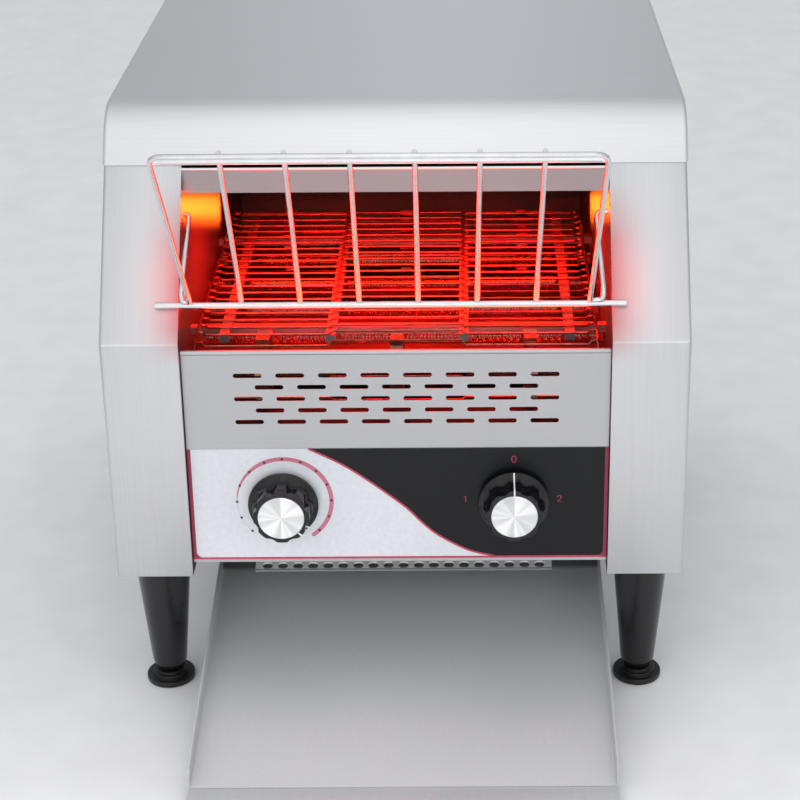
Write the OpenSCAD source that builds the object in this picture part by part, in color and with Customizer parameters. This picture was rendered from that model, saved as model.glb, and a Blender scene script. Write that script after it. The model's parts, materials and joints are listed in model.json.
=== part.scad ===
// Conveyor toaster. A wire belt carries bread between two banks of quartz tubes,
// and a slide under the belt brings the toast back to a tray at the front.
// X runs to the right, Y to the back and Z up, in millimetres. The origin is on the
// counter, under the middle of the machine with its tray and cable gland.

/* [Cabinet] */
// Width across the side panels
body_w = 366; // [350:1:460]
// Depth from the front pillars to the back panel
body_d = 418; // [410:1:500]
// Height of the top of the hood above the counter
body_h = 387; // [382:1:420]
// Height of the underside above the counter
base_z = 95; // [85:1:98]
// Width of each side compartment
side_w = 49; // [47:1:60]
// Height at which the front starts to lean back
break_z = 259; // [257:1:268]
// Lean of the upper front from upright, in degrees
lean = 33.7; // [30:0.1:36]
// Sheet thickness of the cabinet
sheet = 1.2; // [0.8:0.1:1.6]

/* [Hood] */
// Height of the hood's lower edge
lip_z = 354.5; // [352:0.5:362]
// Sheet thickness of the hood
hood_sheet = 1; // [0.8:0.1:1.5]
// Outer radius of the bend above the lip
hood_r = 34; // [20:1:40]
// How far the side panels reach up inside the hood
tuck = 8; // [5:1:14]

/* [Front panel] */
// Depth of the panel behind the pillars
panel_y = 5; // [2:0.5:8]
// Lower edge of the panel
panel_low = 102.7; // [100:0.1:106]
// Upper edge of the panel
panel_high = 251.5; // [245:0.5:252]
// Dark gap between the panel and each pillar
panel_gap = 0.5; // [0.3:0.1:1.5]
// Height of the rolled hem on the panel's upper edge
hem_h = 3; // [2:0.5:6]
// Depth of the panel's side flanges
panel_flange = 12; // [8:1:20]
// Length of a vent slot
vent_len = 18; // [10:1:22]
// Height of a vent slot
vent_h = 3; // [2:0.5:4]
// Distance between slots in a row
vent_pitch = 26.5; // [24:0.5:30]
// Distance between rows of slots
vent_row = 8; // [6:0.2:9]
// Height of the lowest row of slots
vent_low = 203.5; // [200:0.5:206]
// Slots in a full row
vent_count = 8; // [6:1:8]
// Rows of slots
vent_rows = 5; // [3:1:5]
// Lower edge of the control overlay
overlay_low = 105; // [104:0.5:110]
// Upper edge of the control overlay
overlay_high = 184.5; // [180:0.5:190]
// Thickness of the control overlay
overlay_t = 0.4; // [0.2:0.1:0.8]

/* [Knobs] */
// Distance of each knob's axis in from the end of the overlay
knob_in = 60; // [45:0.5:72]
// Height of the knobs' axes
knob_z = 147; // [140:1:152]
// Diameter of a knob's skirt
knob_d = 45; // [36:1:50]
// Height of a knob's face above the overlay
knob_h = 22; // [18:1:28]
// Gap between the overlay and a knob's skirt
knob_gap = 3; // [1:0.5:4]
// Diameter of a knob's face
knob_face_d = 33; // [31:1:38]
// Diameter of the metal cap on a knob
cap_d = 28.5; // [24:0.5:29]
// Finger grooves round a knob
knob_grooves = 8; // [6:1:12]
// Diameter of a control's spindle
spindle_d = 6; // [5:0.5:7]

/* [Controls] */
// Size of the speed regulator behind the panel
regulator_size = 36; // [30:1:38]
// Depth of the speed regulator
regulator_depth = 26; // [20:1:30]
// Size of the selector switch behind the panel
switch_size = 30; // [26:1:38]
// Depth of the selector switch
switch_depth = 42; // [30:1:44]

/* [Feed opening] */
// Height of the opening above the belt
entry_h = 83; // [76:1:84]
// Depth of the header plate behind the pillars
header_y = 62; // [60:0.5:64]
// Height of the header plate's face
header_h = 16; // [12:0.5:20]

/* [Loading rack] */
// Diameter of the rack's bottom rod
rod_d = 4; // [3:0.5:6]
// Diameter of the rack's other wires
rack_wire_d = 3.2; // [3:0.2:4.4]
// Length of the bottom rod
rod_len = 292; // [280:2:300]
// Distance between the rack's two side wires
rack_w = 256; // [240:1:258]
// Length of the rack up its slope
rack_len = 148.5; // [100:0.5:180]
// Lean of the rack towards the user from upright
rack_lean = 34.2; // [20:0.2:45]
// Distance of the bottom rod up the leaning front
rod_seat = 25.2; // [18:0.2:32]
// Bars across the rack
rack_bars = 6; // [4:1:8]
// Distance between the bars
bar_pitch = 36.5; // [25:0.5:40]
// Depth of the rack's pivots behind the pillars
pivot_y = 56; // [50:0.5:58]
// Height of the rack's pivots
pivot_z = 324; // [316:0.5:330]
// Rounding of the rack's upper corners
rack_r = 8; // [5:1:20]

/* [Belt] */
// Height of the belt's upper run
belt_z = 252; // [251:0.5:254]
// Distance between the belt's wires
belt_pitch = 11.5; // [10:0.1:12]
// Pitches between the two shafts
belt_runs = 19; // [17:1:20]
// Width of the belt
belt_w = 255; // [240:1:258]
// Diameter of the belt's wire
belt_wire_d = 2; // [1.6:0.1:2.4]
// Depth of the front shaft behind the pillars
shaft_y = 31; // [31:0.5:34]
// Diameter of the shafts
shaft_d = 10; // [8:1:12]
// Teeth on each belt sprocket
belt_teeth = 12; // [12:1:12]
// Width of a belt sprocket
belt_sprocket_w = 8; // [5:1:12]
// Width of a belt rail
rail_w = 6; // [4:0.5:10]
// Height of a belt rail
rail_h = 5; // [4:0.5:6]

/* [Heating] */
// Diameter of a quartz tube
tube_d = 10; // [8:0.5:11]
// Tubes in each bank
tube_count = 4; // [2:1:4]
// Distance between upper tubes
upper_pitch = 56; // [40:1:58]
// Distance between lower tubes
lower_pitch = 45; // [36:1:46]
// Height of the upper tubes above the belt
upper_rise = 83; // [66:1:83]
// Diameter of a ceramic end cap
end_cap_d = 16; // [14:1:20]
// Length of a ceramic end cap
end_cap_len = 12; // [8:1:20]

/* [Drive] */
// Pitch of the drive chain
chain_pitch = 6.35; // [6.35:0.01:6.35]
// Teeth on each drive sprocket
chain_teeth = 16; // [16:4:16]
// Chain pitches between the motor and the rear shaft
chain_runs = 15; // [13:1:15]
// Direction from the rear shaft to the motor, in degrees
chain_turn = -58; // [-65:1:-52]
// Diameter of the gear motor
motor_d = 60; // [50:1:62]
// Length of the gear motor
motor_len = 28; // [20:1:29]
// Diameter of the gear motor's output shaft
motor_shaft_d = 7; // [6:0.5:8]

/* [Way out] */
// Depth of the back of the toasting chamber
chamber_d = 365; // [358:1:372]
// Slope of the exit slide, in degrees
slide_slope = 20; // [17:0.5:22]
// Depth of the exit slide's front edge
slide_y = 59.5; // [50:0.5:66]
// Height of the exit slide's front edge
slide_z = 64.5; // [63:0.5:70]
// Width of the exit slide's front tongue
tongue_w = 202; // [180:1:240]
// Radius of the bend at the foot of the chute
chute_r = 80; // [60:1:90]
// Height of the exit passage
exit_h = 39; // [34:1:40]
// Slots in the tongue
crumb_slots = 19; // [11:2:19]
// Distance between the tongue's slots
crumb_pitch = 10.3; // [9.5:0.1:11]

/* [Tray] */
// Width of the tray
tray_w = 265; // [250:1:266]
// Front of the tray's lip, in front of the pillars
tray_front = 130; // [120:1:150]
// Depth of the tray's back edge
tray_back = 250; // [220:1:260]
// Fold between the tray's floor and lip, in front of the pillars
tray_fold = 105; // [95:1:110]
// Height of the tray's floor at the fold
tray_low = 6.5; // [5:0.5:9]
// Slope of the tray's floor, in degrees
tray_slope = 10.28; // [9:0.02:10.4]
// Height of the tray's side walls
tray_wall = 15.5; // [10:0.5:17]
// Sheet thickness of the tray
tray_sheet = 1; // [0.8:0.1:1.2]
// Sideways play of the tray between its guides, to each side
tray_play = 4; // [1:0.5:5]
// Distance that the tray pulls out
tray_travel = 120; // [80:5:120]

/* [Legs] */
// Distance of each leg from the middle
leg_x = 158; // [156:0.5:160]
// Distance of the legs from the front and the back of the cabinet
leg_in = 30; // [24:1:60]
// Diameter at the top of a leg
leg_top_d = 37; // [30:1:38]
// Diameter at the bottom of a leg
leg_low_d = 22; // [18:1:26]
// Diameter of a foot
foot_d = 32; // [26:1:40]
// Height of a foot
foot_h = 8; // [6:1:14]
// Thickness of a foot's disc
foot_rim = 4; // [3:0.5:5]
// Diameter of a foot's stem and of a leg's stud
stem_d = 8; // [6:1:10]

/* [Cooling fan] */
// Side of the fan's square frame
fan_size = 80; // [60:1:92]
// Depth of the fan
fan_depth = 25; // [20:1:30]
// Blades on the rotor
fan_blades = 7; // [5:1:9]
// Place of the fan to the left of the middle
fan_x = 60; // [50:1:80]
// Height of the fan's axis
fan_z = 150; // [145:1:170]

/* [Back] */
// Distance of the cable gland and of the earth stud in from the side panels
gland_in = 31; // [26:1:35]
// Height of the cable gland and of the earth stud
gland_z = 122; // [118:1:130]
// Length of the cable gland behind the back panel
gland_out = 14; // [10:1:20]
// Diameter of the cable gland's bore
gland_bore_d = 9; // [7:0.5:11]
// Diameter of the earth stud
earth_d = 6; // [5:1:8]
// Length of the earth stud behind the back panel
earth_out = 13; // [10:1:14]
// Length of a vent slot in the back panel
back_vent_len = 24; // [16:1:26]
// Distance between the back panel's slots in a row
back_vent_pitch = 32; // [30:1:34]
// Rows of slots in the back panel
back_vent_rows = 6; // [3:1:8]
// Diameter of a screw's shank
screw_d = 3.5; // [3:0.5:4]

/* [Hidden] */
$fn = 48;
cut = 1;             // overshoot of a cutting shape
seat = 0.3;          // gap under a piece that rests on another body
run_fit = 0.05;      // radial clearance of a running fit
end_play = 0.4;      // clearance at each end of a turning piece
bend_steps = 10;     // straight stretches in a drawn bend

inner_x = body_w / 2 - side_w;
wall_x = inner_x + sheet;
outer_x = body_w / 2 - sheet;
back_y = body_d - sheet;
panel_top = lip_z + tuck;
hood_w = body_w + 2 * hood_sheet;
overlay_x = inner_x - panel_gap;
knob_x = overlay_x - knob_in;
mid_y = (body_d + gland_out - tray_front) / 2;

belt_r = belt_pitch / 2 / sin(180 / belt_teeth);
shaft_z = belt_z - belt_r;
rear_y = shaft_y + belt_runs * belt_pitch;
belt_spaces = 3;
edge_in = 1;
column_x = belt_w / 2 - edge_in;
space_w = 2 * column_x / belt_spaces;
tooth_over = 1.5;
sprocket_reach = belt_r + tooth_over;
header_low = belt_z + belt_wire_d / 2 + entry_h;

chain_r = chain_pitch / 2 / sin(180 / chain_teeth);
chain_x = inner_x + 8;
motor_y = rear_y + chain_runs * chain_pitch * cos(chain_turn);
motor_z = shaft_z + chain_runs * chain_pitch * sin(chain_turn);
bracket_x = chain_x + 6;
bracket_t = 2;
bracket_half = motor_d / 2 + 2;
post_r = 3;
post_in = 1;

slide_rise = tan(slide_slope);
slide_end_y = chamber_d - chute_r * (1 - sin(slide_slope));
slide_end_z = slide_z + (slide_end_y - slide_y) * slide_rise;
chute_z = slide_end_z + chute_r * cos(slide_slope);
shield_z = shaft_z - sprocket_reach - 10;
shield_back = rear_y + sprocket_reach + 12;
ceiling_z = slide_z + exit_h;

rod_r = rod_d / 2;
rod_y = rod_seat * sin(lean) - (rod_r + seat) * cos(lean);
rod_z = break_z + rod_seat * cos(lean) + (rod_r + seat) * sin(lean);

upper_z = belt_z + upper_rise;
lower_z = shaft_z + 2;
upper_y0 = 88;
lower_y0 = 73;
reflector_z = header_low + 8;
lower_reflector_z = shaft_z - 13;

tray_rise = tan(tray_slope);
ear_len = 14;
ear_z = tray_low + (tray_back - ear_len + tray_fold) * tray_rise + 4;
ear_x = tray_w / 2 + 2 * tray_play + 2;
guide_x = ear_x + tray_play + seat;
guide_front = tray_back - ear_len - tray_travel - 10;

bearing_r = shaft_d / 2 + 3;
tube_over = 8;
slide_step_y = 150;
roller_r = 1.65;
motor_bore = 14;
bush_r = spindle_d / 2 + 2;
spindle_in = 16;
rim_h = 3;
grip_h = knob_h - knob_gap;
fan_hole = fan_size / 2 - 4.5;
fan_hub_r = 16;
fan_pin_r = 3;
gland_x = body_w / 2 - gland_in;
gland_r = 8;
nut_depth = 12;      // gland and stud inside the back panel
stem_len = 22;
stud_up = 12;        // leg stud above the base plate

slat_count = 12;     // upright slots in each side panel
slat_w = 4;
slat_pitch = 10;
slat_y = 240;
slat_z = [120, 165];
base_slots = 8;
base_slot_y = 100;
base_slot_pitch = 14;
back_vent_z = 205;
back_vent_row = 12;
grille_rows = 7;
grille_row = 9;
flange = 14;         // side panel's flange behind the back panel
shelf = 24;          // header plate's shelf
hood_screw_y = 130;
hood_screw_in = 40;  // rear hood screws in from the back
back_screw_z = 230;
screw_in = 12;       // back screws in from a panel's ends
crumb_r = 2.6;
crumb_half = 1;
crumb_in = 3.8;
bearing_flange = 4;
wheel_half = 1.3;    // half of a chain wheel's width
link_in = 1.8;       // chain plates from the chain's middle
link_t = 0.8;
link_r = 2.2;
groove_r = 6;
groove_in = 1.5;     // depth of a knob's grooves at its face
cone_h = 6;
taper = 1;           // knob's grip, wider at its foot than at its face
skirt_in = 7;
terminal_h = 20;
terminal_len = 50;
terminal_in = 12;    // terminal block in from the walls beside it
terminal_back = 60;
cutout_r = 9;
cutout_len = 10;
cutout_in = 30;      // cutout's axis in front of the chamber's back
cutout_drop = 20;    // cutout's axis below the upper reflector
cutout_tab = [3, 15, 6];
bumper_r = 6;

// ---- Helpers ----

module place() translate([0, -mid_y, 0]) children();

// A flat shape drawn in Y and Z, drawn out along X
module along_x(x0, x1) translate([x0, 0, 0]) rotate([90, 0, 90]) linear_extrude(x1 - x0) children();

// A flat shape drawn in X and Z, drawn out along Y
module along_y(y0, y1) translate([0, y1, 0]) rotate([90, 0, 0]) linear_extrude(y1 - y0) children();

module block(x, y, z) translate([x[0], y[0], z[0]]) cube([x[1] - x[0], y[1] - y[0], z[1] - z[0]]);

module rod_x(x0, x1, y, z, r) translate([x0, y, z]) rotate([0, 90, 0]) cylinder(h = x1 - x0, r = r);

module rod_y(y0, y1, x, z, r) translate([x, y0, z]) rotate([-90, 0, 0]) cylinder(h = y1 - y0, r = r);

module rod_z(z0, z1, x, y, r) translate([x, y, z0]) cylinder(h = z1 - z0, r = r);

// A round wire from one point to another
module wire(p, q, r) {
    v = q - p;
    translate(p) rotate([0, acos(v[2] / norm(v)), atan2(v[1], v[0])]) cylinder(h = norm(v), r = r);
}

module both_sides() {
    children();
    mirror([1, 0, 0]) children();
}

// A slot with round ends, centred on x and z, cut through along Y
module slot_y(x, z, len, h, y0, y1) {
    reach = (len - h) / 2;
    block([x - reach, x + reach], [y0, y1], [z - h / 2, z + h / 2]);
    for (s = [-1, 1]) rod_y(y0, y1, x + s * reach, z, h / 2);
}

// ---- Outlines ----

// Depth of the leaning front at a height, set in from its outer face
function lean_y(z, inset) = (z - break_z) * tan(lean) + inset / cos(lean);

// Side view of the cabinet, set in from its outer face
function side_view(inset, low, high, back) = [
    [inset, low], [inset, break_z - inset * tan(lean / 2)], [lean_y(high, inset), high],
    [back, high], [back, low]];

// Side view of the hood, set in from its outer face
function hood_view(inset, low) =
    let (r = hood_r - inset, top = body_h - inset, turn = 90 - lean,
         c = [lean_y(top, inset - hood_sheet) + r * tan(turn / 2), top - r])
    concat([[lean_y(low, inset - hood_sheet), low]],
        [for (i = [0:bend_steps])
            let (a = 180 - lean - turn * i / bend_steps) c + r * [cos(a), sin(a)]],
        [[body_d + hood_sheet - inset, top], [body_d + hood_sheet - inset, low]]);

// Places along a closed chain round two equal wheels, as [along, across, turn of the next link]
function loop_points(teeth, pitch, runs, r) =
    let (half = teeth / 2, step = 360 / teeth)
    concat([for (i = [0:runs - 1]) [i * pitch, r, 0]],
        [for (i = [0:half - 1])
            [runs * pitch + r * sin(i * step), r * cos(i * step), -(i + 0.5) * step]],
        [for (i = [0:runs - 1]) [(runs - i) * pitch, -r, 180]],
        [for (i = [0:half - 1])
            [-r * sin(i * step), -r * cos(i * step), 180 - (i + 0.5) * step]]);

// Height of the tray's floor
function tray_z(y) = tray_low + (y + tray_fold) * tray_rise;

// Height of the exit slide
function slide_top(y) = slide_z + (y - slide_y) * slide_rise;

// Rails run between the belt's sprockets
function rail_places() = [for (i = [-1.3, -0.5, 0.5, 1.3]) i * space_w];

function upper_y(i) = upper_y0 + i * upper_pitch;
function lower_y(i) = lower_y0 + i * lower_pitch;

// ---- Cabinet ----

function back_screws() = [for (x = [-1, 1], z = [base_z + screw_in, back_screw_z, panel_top - screw_in])
    [x * (outer_x - flange / 2), z]];
function hood_screws() = [hood_screw_y, body_d - hood_screw_in];

module top_hood() color("gainsboro") place() difference() {
    along_x(-hood_w / 2, hood_w / 2) polygon(hood_view(0, lip_z));
    along_x(-body_w / 2, body_w / 2) polygon(hood_view(hood_sheet, lip_z - cut));
    both_sides() for (y = hood_screws()) hood_screw(y, screw_d / 2);
}

module hood_screw(y, r) rod_x(outer_x - 2, hood_w / 2 + cut, y, lip_z + 4, r);

module side_panel() color("gainsboro") place() difference() {
    union() {
        difference() {
            along_x(inner_x, body_w / 2) polygon(side_view(0, base_z, panel_top, back_y));
            along_x(inner_x - cut, outer_x)
                polygon(side_view(sheet, base_z - cut, panel_top + cut, back_y + cut));
        }
        block([outer_x - flange, outer_x], [back_y - sheet, back_y], [base_z + sheet, panel_top]);
    }
    for (i = [0:slat_count - 1]) let (y = slat_y + slat_pitch * i)
        block([outer_x - cut, body_w / 2 + cut], [y, y + slat_w], slat_z);
    for (y = hood_screws()) hood_screw(y, screw_d / 2);
    for (s = back_screws()) if (s[0] > 0) rod_y(back_y - 2 * sheet, body_d, s[0], s[1], screw_d / 2);
}

module side_panel_left() mirror([1, 0, 0]) side_panel();
module side_panel_right() side_panel();

module inner_wall() color("silver") place() difference() {
    along_x(inner_x, wall_x) polygon(side_view(sheet, base_z, panel_top, back_y - sheet));
    for (y = [shaft_y, rear_y]) rod_x(inner_x - cut, wall_x + cut, y, shaft_z, bearing_r);
    for (i = [0:tube_count - 1]) {
        rod_x(inner_x - cut, wall_x + cut, upper_y(i), upper_z, tube_d / 2 + 1);
        rod_x(inner_x - cut, wall_x + cut, lower_y(i), lower_z, tube_d / 2 + 1);
    }
    rod_x(inner_x - cut, wall_x + cut, pivot_y, pivot_z, rack_wire_d / 2 + run_fit);
}

module inner_wall_left() mirror([1, 0, 0]) inner_wall();
module inner_wall_right() inner_wall();

module base_plate() color("silver") place() difference() {
    block([wall_x, outer_x], [sheet, back_y - sheet], [base_z, base_z + sheet]);
    for (y = leg_places()) rod_z(base_z - cut, base_z + sheet + cut, leg_x, y, stem_d / 2);
    for (i = [0:base_slots - 1]) let (y = base_slot_y + base_slot_pitch * i)
        block([wall_x + 10, outer_x - 10], [y, y + slat_w], [base_z - cut, base_z + sheet + cut]);
}

module base_plate_left() mirror([1, 0, 0]) base_plate();
module base_plate_right() base_plate();

module back_panel() color("gainsboro") place() difference() {
    block([-body_w / 2, body_w / 2], [back_y, body_d], [base_z, panel_top]);
    for (i = [0:back_vent_rows - 1], s = [-1, 1], k = [0:3])
        slot_y(s * (k + 0.5) * back_vent_pitch, back_vent_z + back_vent_row * i,
            back_vent_len, slat_w, back_y - cut, body_d + cut);
    for (i = [0:grille_rows - 1])
        let (z = grille_row * (i - (grille_rows - 1) / 2),
             half = sqrt(pow(fan_size / 2 - 6, 2) - z * z))
            slot_y(-fan_x, fan_z + z, 2 * half, slat_w, back_y - cut, body_d + cut);
    for (x = [-1, 1], z = [-1, 1])
        rod_y(back_y - cut, body_d + cut, x * fan_hole - fan_x, z * fan_hole + fan_z, screw_d / 2);
    rod_y(back_y - cut, body_d + cut, -gland_x, gland_z, gland_r);
    rod_y(back_y - cut, body_d + cut, gland_x, gland_z, earth_d / 2);
    for (s = back_screws()) rod_y(back_y - cut, body_d + cut, s[0], s[1], screw_d / 2);
}

module front_panel() color("gainsboro") place() {
    half = inner_x - panel_gap;
    difference() {
        union() {
            block([-half, half], [panel_y, panel_y + sheet], [panel_low, panel_high]);
            block([-half, half], [panel_y, panel_y + 2 * sheet], [panel_high - hem_h, panel_high]);
            both_sides() block([half - sheet, half], [panel_y, panel_y + panel_flange],
                [ceiling_z + sheet + cut, shield_z - cut]);
        }
        for (row = [0:vent_rows - 1]) for (i = [0:vent_count - 1 - row % 2])
            slot_y((i - (vent_count - 1 - row % 2) / 2) * vent_pitch, vent_low + row * vent_row,
                vent_len, vent_h, panel_y - cut, panel_y + sheet + cut);
        both_sides() rod_y(panel_y - cut, panel_y + sheet + cut, knob_x, knob_z, bush_r);
    }
}

module panel_overlay() color("whitesmoke") place() difference() {
    block([-overlay_x, overlay_x], [panel_y - overlay_t, panel_y], [overlay_low, overlay_high]);
    both_sides() rod_y(panel_y - overlay_t - cut, panel_y + cut, knob_x, knob_z, bush_r);
}

module header_plate() color("lightgray") place() {
    block([-inner_x, inner_x], [header_y, header_y + sheet], [header_low, header_low + header_h]);
    block([-inner_x, inner_x], [header_y, header_y + shelf],
        [header_low + header_h - sheet, header_low + header_h]);
}

// ---- Chamber ----

module upper_reflector() color("silver") place()
    block([-inner_x, inner_x], [header_y + sheet, chamber_d], [reflector_z, reflector_z + sheet]);

module lower_reflector() color("silver") place()
    block([-inner_x, inner_x], [shaft_y + sprocket_reach + 2, rear_y - sprocket_reach - 2],
        [lower_reflector_z, lower_reflector_z + sheet]);

module heat_shield() color("silver") place()
    block([-inner_x, inner_x], [panel_y + sheet, shield_back], [shield_z, shield_z + sheet]);

module control_floor() color("silver") place() along_x(-inner_x, inner_x) polygon([
    [panel_y + sheet, ceiling_z], [slide_y, ceiling_z],
    [shield_back, ceiling_z + (shield_back - slide_y) * slide_rise], [shield_back, shield_z],
    [shield_back - sheet, shield_z],
    [shield_back - sheet, ceiling_z + (shield_back - slide_y) * slide_rise + sheet / 2],
    [slide_y, ceiling_z + sheet], [panel_y + sheet, ceiling_z + sheet]]);

module return_chute() color("silver") place() along_x(-inner_x, inner_x) polygon(concat(
    [for (i = [0:bend_steps]) let (a = -(90 - slide_slope) * i / bend_steps)
        [chamber_d - chute_r, chute_z] + chute_r * [cos(a), sin(a)]],
    [for (i = [bend_steps:-1:0]) let (a = -(90 - slide_slope) * i / bend_steps)
        [chamber_d - chute_r, chute_z] + (chute_r + sheet) * [cos(a), sin(a)]],
    [[chamber_d + sheet, reflector_z + sheet], [chamber_d, reflector_z + sheet]]));

module exit_slide() color("silver") place() difference() {
    along_x(-inner_x, inner_x) polygon([
        [slide_y, slide_z], [slide_end_y, slide_end_z],
        [slide_end_y + sheet * sin(slide_slope), slide_end_z - sheet * cos(slide_slope)],
        [slide_y, slide_z - sheet / cos(slide_slope)]]);
    both_sides() block([tongue_w / 2, inner_x + cut], [slide_y - cut, slide_step_y],
        [slide_z - 2 * sheet, slide_top(slide_step_y) + cut]);
    for (i = [0:crumb_slots - 1]) translate([(i - (crumb_slots - 1) / 2) * crumb_pitch, 0, 0])
        crumb_slot();
}

module crumb_slot() {
    mid = slide_y + crumb_in;
    low = slide_z - 2 * sheet - cut;
    high = slide_top(mid + crumb_r) + cut;
    block([-crumb_half, crumb_half], [mid - crumb_r, mid + crumb_r], [low, high]);
    for (s = [-1, 1]) rod_z(low, high, s * crumb_half, mid, crumb_r);
}

module quartz_tube(y, z) rod_x(-inner_x - tube_over, inner_x + tube_over, y, z, tube_d / 2);

module upper_tubes() color("orangered") place()
    for (i = [0:tube_count - 1]) quartz_tube(upper_y(i), upper_z);
module lower_tubes() color("orangered") place()
    for (i = [0:tube_count - 1]) quartz_tube(lower_y(i), lower_z);

module end_cap(y, z) difference() {
    rod_x(wall_x, wall_x + end_cap_len, y, z, end_cap_d / 2);
    rod_x(wall_x - cut, inner_x + tube_over, y, z, tube_d / 2);
}

module upper_end_caps() color("ivory") place() both_sides()
    for (i = [0:tube_count - 1]) end_cap(upper_y(i), upper_z);
module lower_end_caps() color("ivory") place() both_sides()
    for (i = [0:tube_count - 1]) end_cap(lower_y(i), lower_z);

// ---- Belt ----

module shaft_bearings() color("darkgoldenrod") place() both_sides() for (y = [shaft_y, rear_y]) difference() {
    union() {
        rod_x(inner_x - 2, wall_x + 3, y, shaft_z, bearing_r);
        rod_x(wall_x, wall_x + 2, y, shaft_z, bearing_r + bearing_flange);
    }
    rod_x(inner_x - 2 - cut, wall_x + 3 + cut, y, shaft_z, shaft_d / 2 + run_fit);
}

module belt_rails() color("silver") place() {
    top = belt_z - belt_wire_d / 2 - seat;
    for (x = rail_places())
        block([x - rail_w / 2, x + rail_w / 2], [shaft_y + 2, rear_y - 2], [top - rail_h, top]);
    for (y = [shaft_y + sprocket_reach + 6, rear_y - sprocket_reach - 6])
        block([-inner_x, inner_x], [y - rail_w / 2, y + rail_w / 2], [top - 2 * rail_h, top - rail_h]);
}

module strand() {
    r = belt_wire_d / 2;
    rod_x(-belt_w / 2, belt_w / 2, 0, 0, r);
    for (i = [-1:2 / belt_spaces:1]) rod_y(0, belt_pitch - r - seat, i * column_x, 0, r);
}

module conveyor_belt() color("silver") place() translate([0, shaft_y, shaft_z])
    for (p = loop_points(belt_teeth, belt_pitch, belt_runs, belt_r))
        translate([0, p[0], p[1]]) rotate([p[2], 0, 0]) strand();

module front_shaft() color("silver") place() rod_x(-wall_x - 6, wall_x + 6, shaft_y, shaft_z, shaft_d / 2);
module rear_shaft() color("silver") place() rod_x(-wall_x - 6, chain_x + 6, rear_y, shaft_z, shaft_d / 2);

// A toothed wheel on an X axis, whose teeth stand between the links
module sprocket(x0, x1, teeth, root_r, tip_r, root_w, tip_w) {
    rod_x(x0, x1, 0, 0, root_r);
    for (i = [0:teeth - 1]) rotate([(i + 0.5) * 360 / teeth, 0, 0]) along_x(x0, x1)
        polygon([[-root_w / 2, root_r - cut], [root_w / 2, root_r - cut],
            [tip_w / 2, tip_r], [-tip_w / 2, tip_r]]);
}

module belt_sprockets(y) difference() {
    for (i = [0:belt_spaces - 1]) translate([(i - (belt_spaces - 1) / 2) * space_w, y, shaft_z])
        sprocket(-belt_sprocket_w / 2, belt_sprocket_w / 2, belt_teeth,
            belt_r - belt_wire_d / 2 - seat, sprocket_reach, 6.5, 3.5);
    rod_x(-inner_x, inner_x, y, shaft_z, shaft_d / 2);
}

module front_sprockets() color("dimgray") place() belt_sprockets(shaft_y);
module rear_sprockets() color("dimgray") place() belt_sprockets(rear_y);

// ---- Drive ----

module chain_wheel(bore_r) difference() {
    union() {
        sprocket(chain_x - wheel_half, chain_x + wheel_half, chain_teeth,
            chain_r - roller_r - seat, chain_r + 1.2, 3, 1);
        rod_x(chain_x + wheel_half, chain_x + 5, 0, 0, chain_r * 0.6);
    }
    rod_x(chain_x - 2, chain_x + 6, 0, 0, bore_r);
}

module at_rear() translate([0, rear_y, shaft_z]) rotate([chain_turn, 0, 0]) children();

module driven_sprocket() color("gray") place() at_rear() chain_wheel(shaft_d / 2);

module motor_sprocket() color("gray") place() at_rear()
    translate([0, chain_runs * chain_pitch, 0]) chain_wheel(motor_shaft_d / 2);

module chain_band(x0, x1, r) {
    run = chain_runs * chain_pitch;
    rod_x(x0, x1, 0, 0, r);
    rod_x(x0, x1, run, 0, r);
    block([x0, x1], [0, run], [-r, r]);
}

module drive_chain() color("dimgray") place() at_rear() {
    for (p = loop_points(chain_teeth, chain_pitch, chain_runs, chain_r))
        rod_x(chain_x - link_in, chain_x + link_in, p[0], p[1], roller_r);
    for (x = [chain_x - link_in - link_t, chain_x + link_in]) difference() {
        chain_band(x, x + link_t, chain_r + link_r);
        chain_band(x - cut, x + link_t + cut, chain_r - link_r);
    }
}

module gear_motor() color("dimgray") place() translate([0, motor_y, motor_z]) difference() {
    rod_x(bracket_x + bracket_t, bracket_x + bracket_t + motor_len, 0, 0, motor_d / 2);
    rod_x(bracket_x, bracket_x + motor_bore, 0, 0, motor_shaft_d / 2 + run_fit);
}

module motor_bracket() color("silver") place() translate([0, motor_y, motor_z]) rotate([chain_turn, 0, 0])
    difference() {
        post = bracket_half - post_r - post_in;
        union() {
            block([bracket_x, bracket_x + bracket_t], [-bracket_half, bracket_half],
                [-bracket_half, bracket_half]);
            for (y = [-post, post], z = [-post, post]) rod_x(wall_x, bracket_x, y, z, post_r);
        }
        rod_x(bracket_x - cut, bracket_x + bracket_t + cut, 0, 0, motor_shaft_d / 2 + 1);
    }

module motor_shaft() color("silver") place()
    rod_x(chain_x - 3, bracket_x + motor_bore - end_play, motor_y, motor_z, motor_shaft_d / 2);

// ---- Controls ----

// A control behind the panel: a box, and a bush that comes through the panel
module control(x, size, depth) place() difference() {
    union() {
        block([x - size / 2, x + size / 2], [panel_y + sheet, panel_y + sheet + depth],
            [knob_z - size / 2, knob_z + size / 2]);
        rod_y(panel_y - 5, panel_y + sheet + cut, x, knob_z, bush_r);
    }
    rod_y(panel_y - 5 - cut, panel_y + spindle_in, x, knob_z, spindle_d / 2 + run_fit);
}

module speed_regulator() color("darkslategray") control(-knob_x, regulator_size, regulator_depth);
module selector_switch() color("darkslategray") control(knob_x, switch_size, switch_depth);

module spindle(x) place()
    rod_y(panel_y - overlay_t - knob_h + 4, panel_y + spindle_in - end_play, x, knob_z, spindle_d / 2);

module regulator_spindle() color("silver") spindle(-knob_x);
module selector_spindle() color("silver") spindle(knob_x);

// Puts a shape that stands on Z in front of the panel, with its Y upwards
module on_panel(x) place() translate([x, panel_y - overlay_t - knob_gap, knob_z])
    rotate([90, 0, 0]) children();

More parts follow.
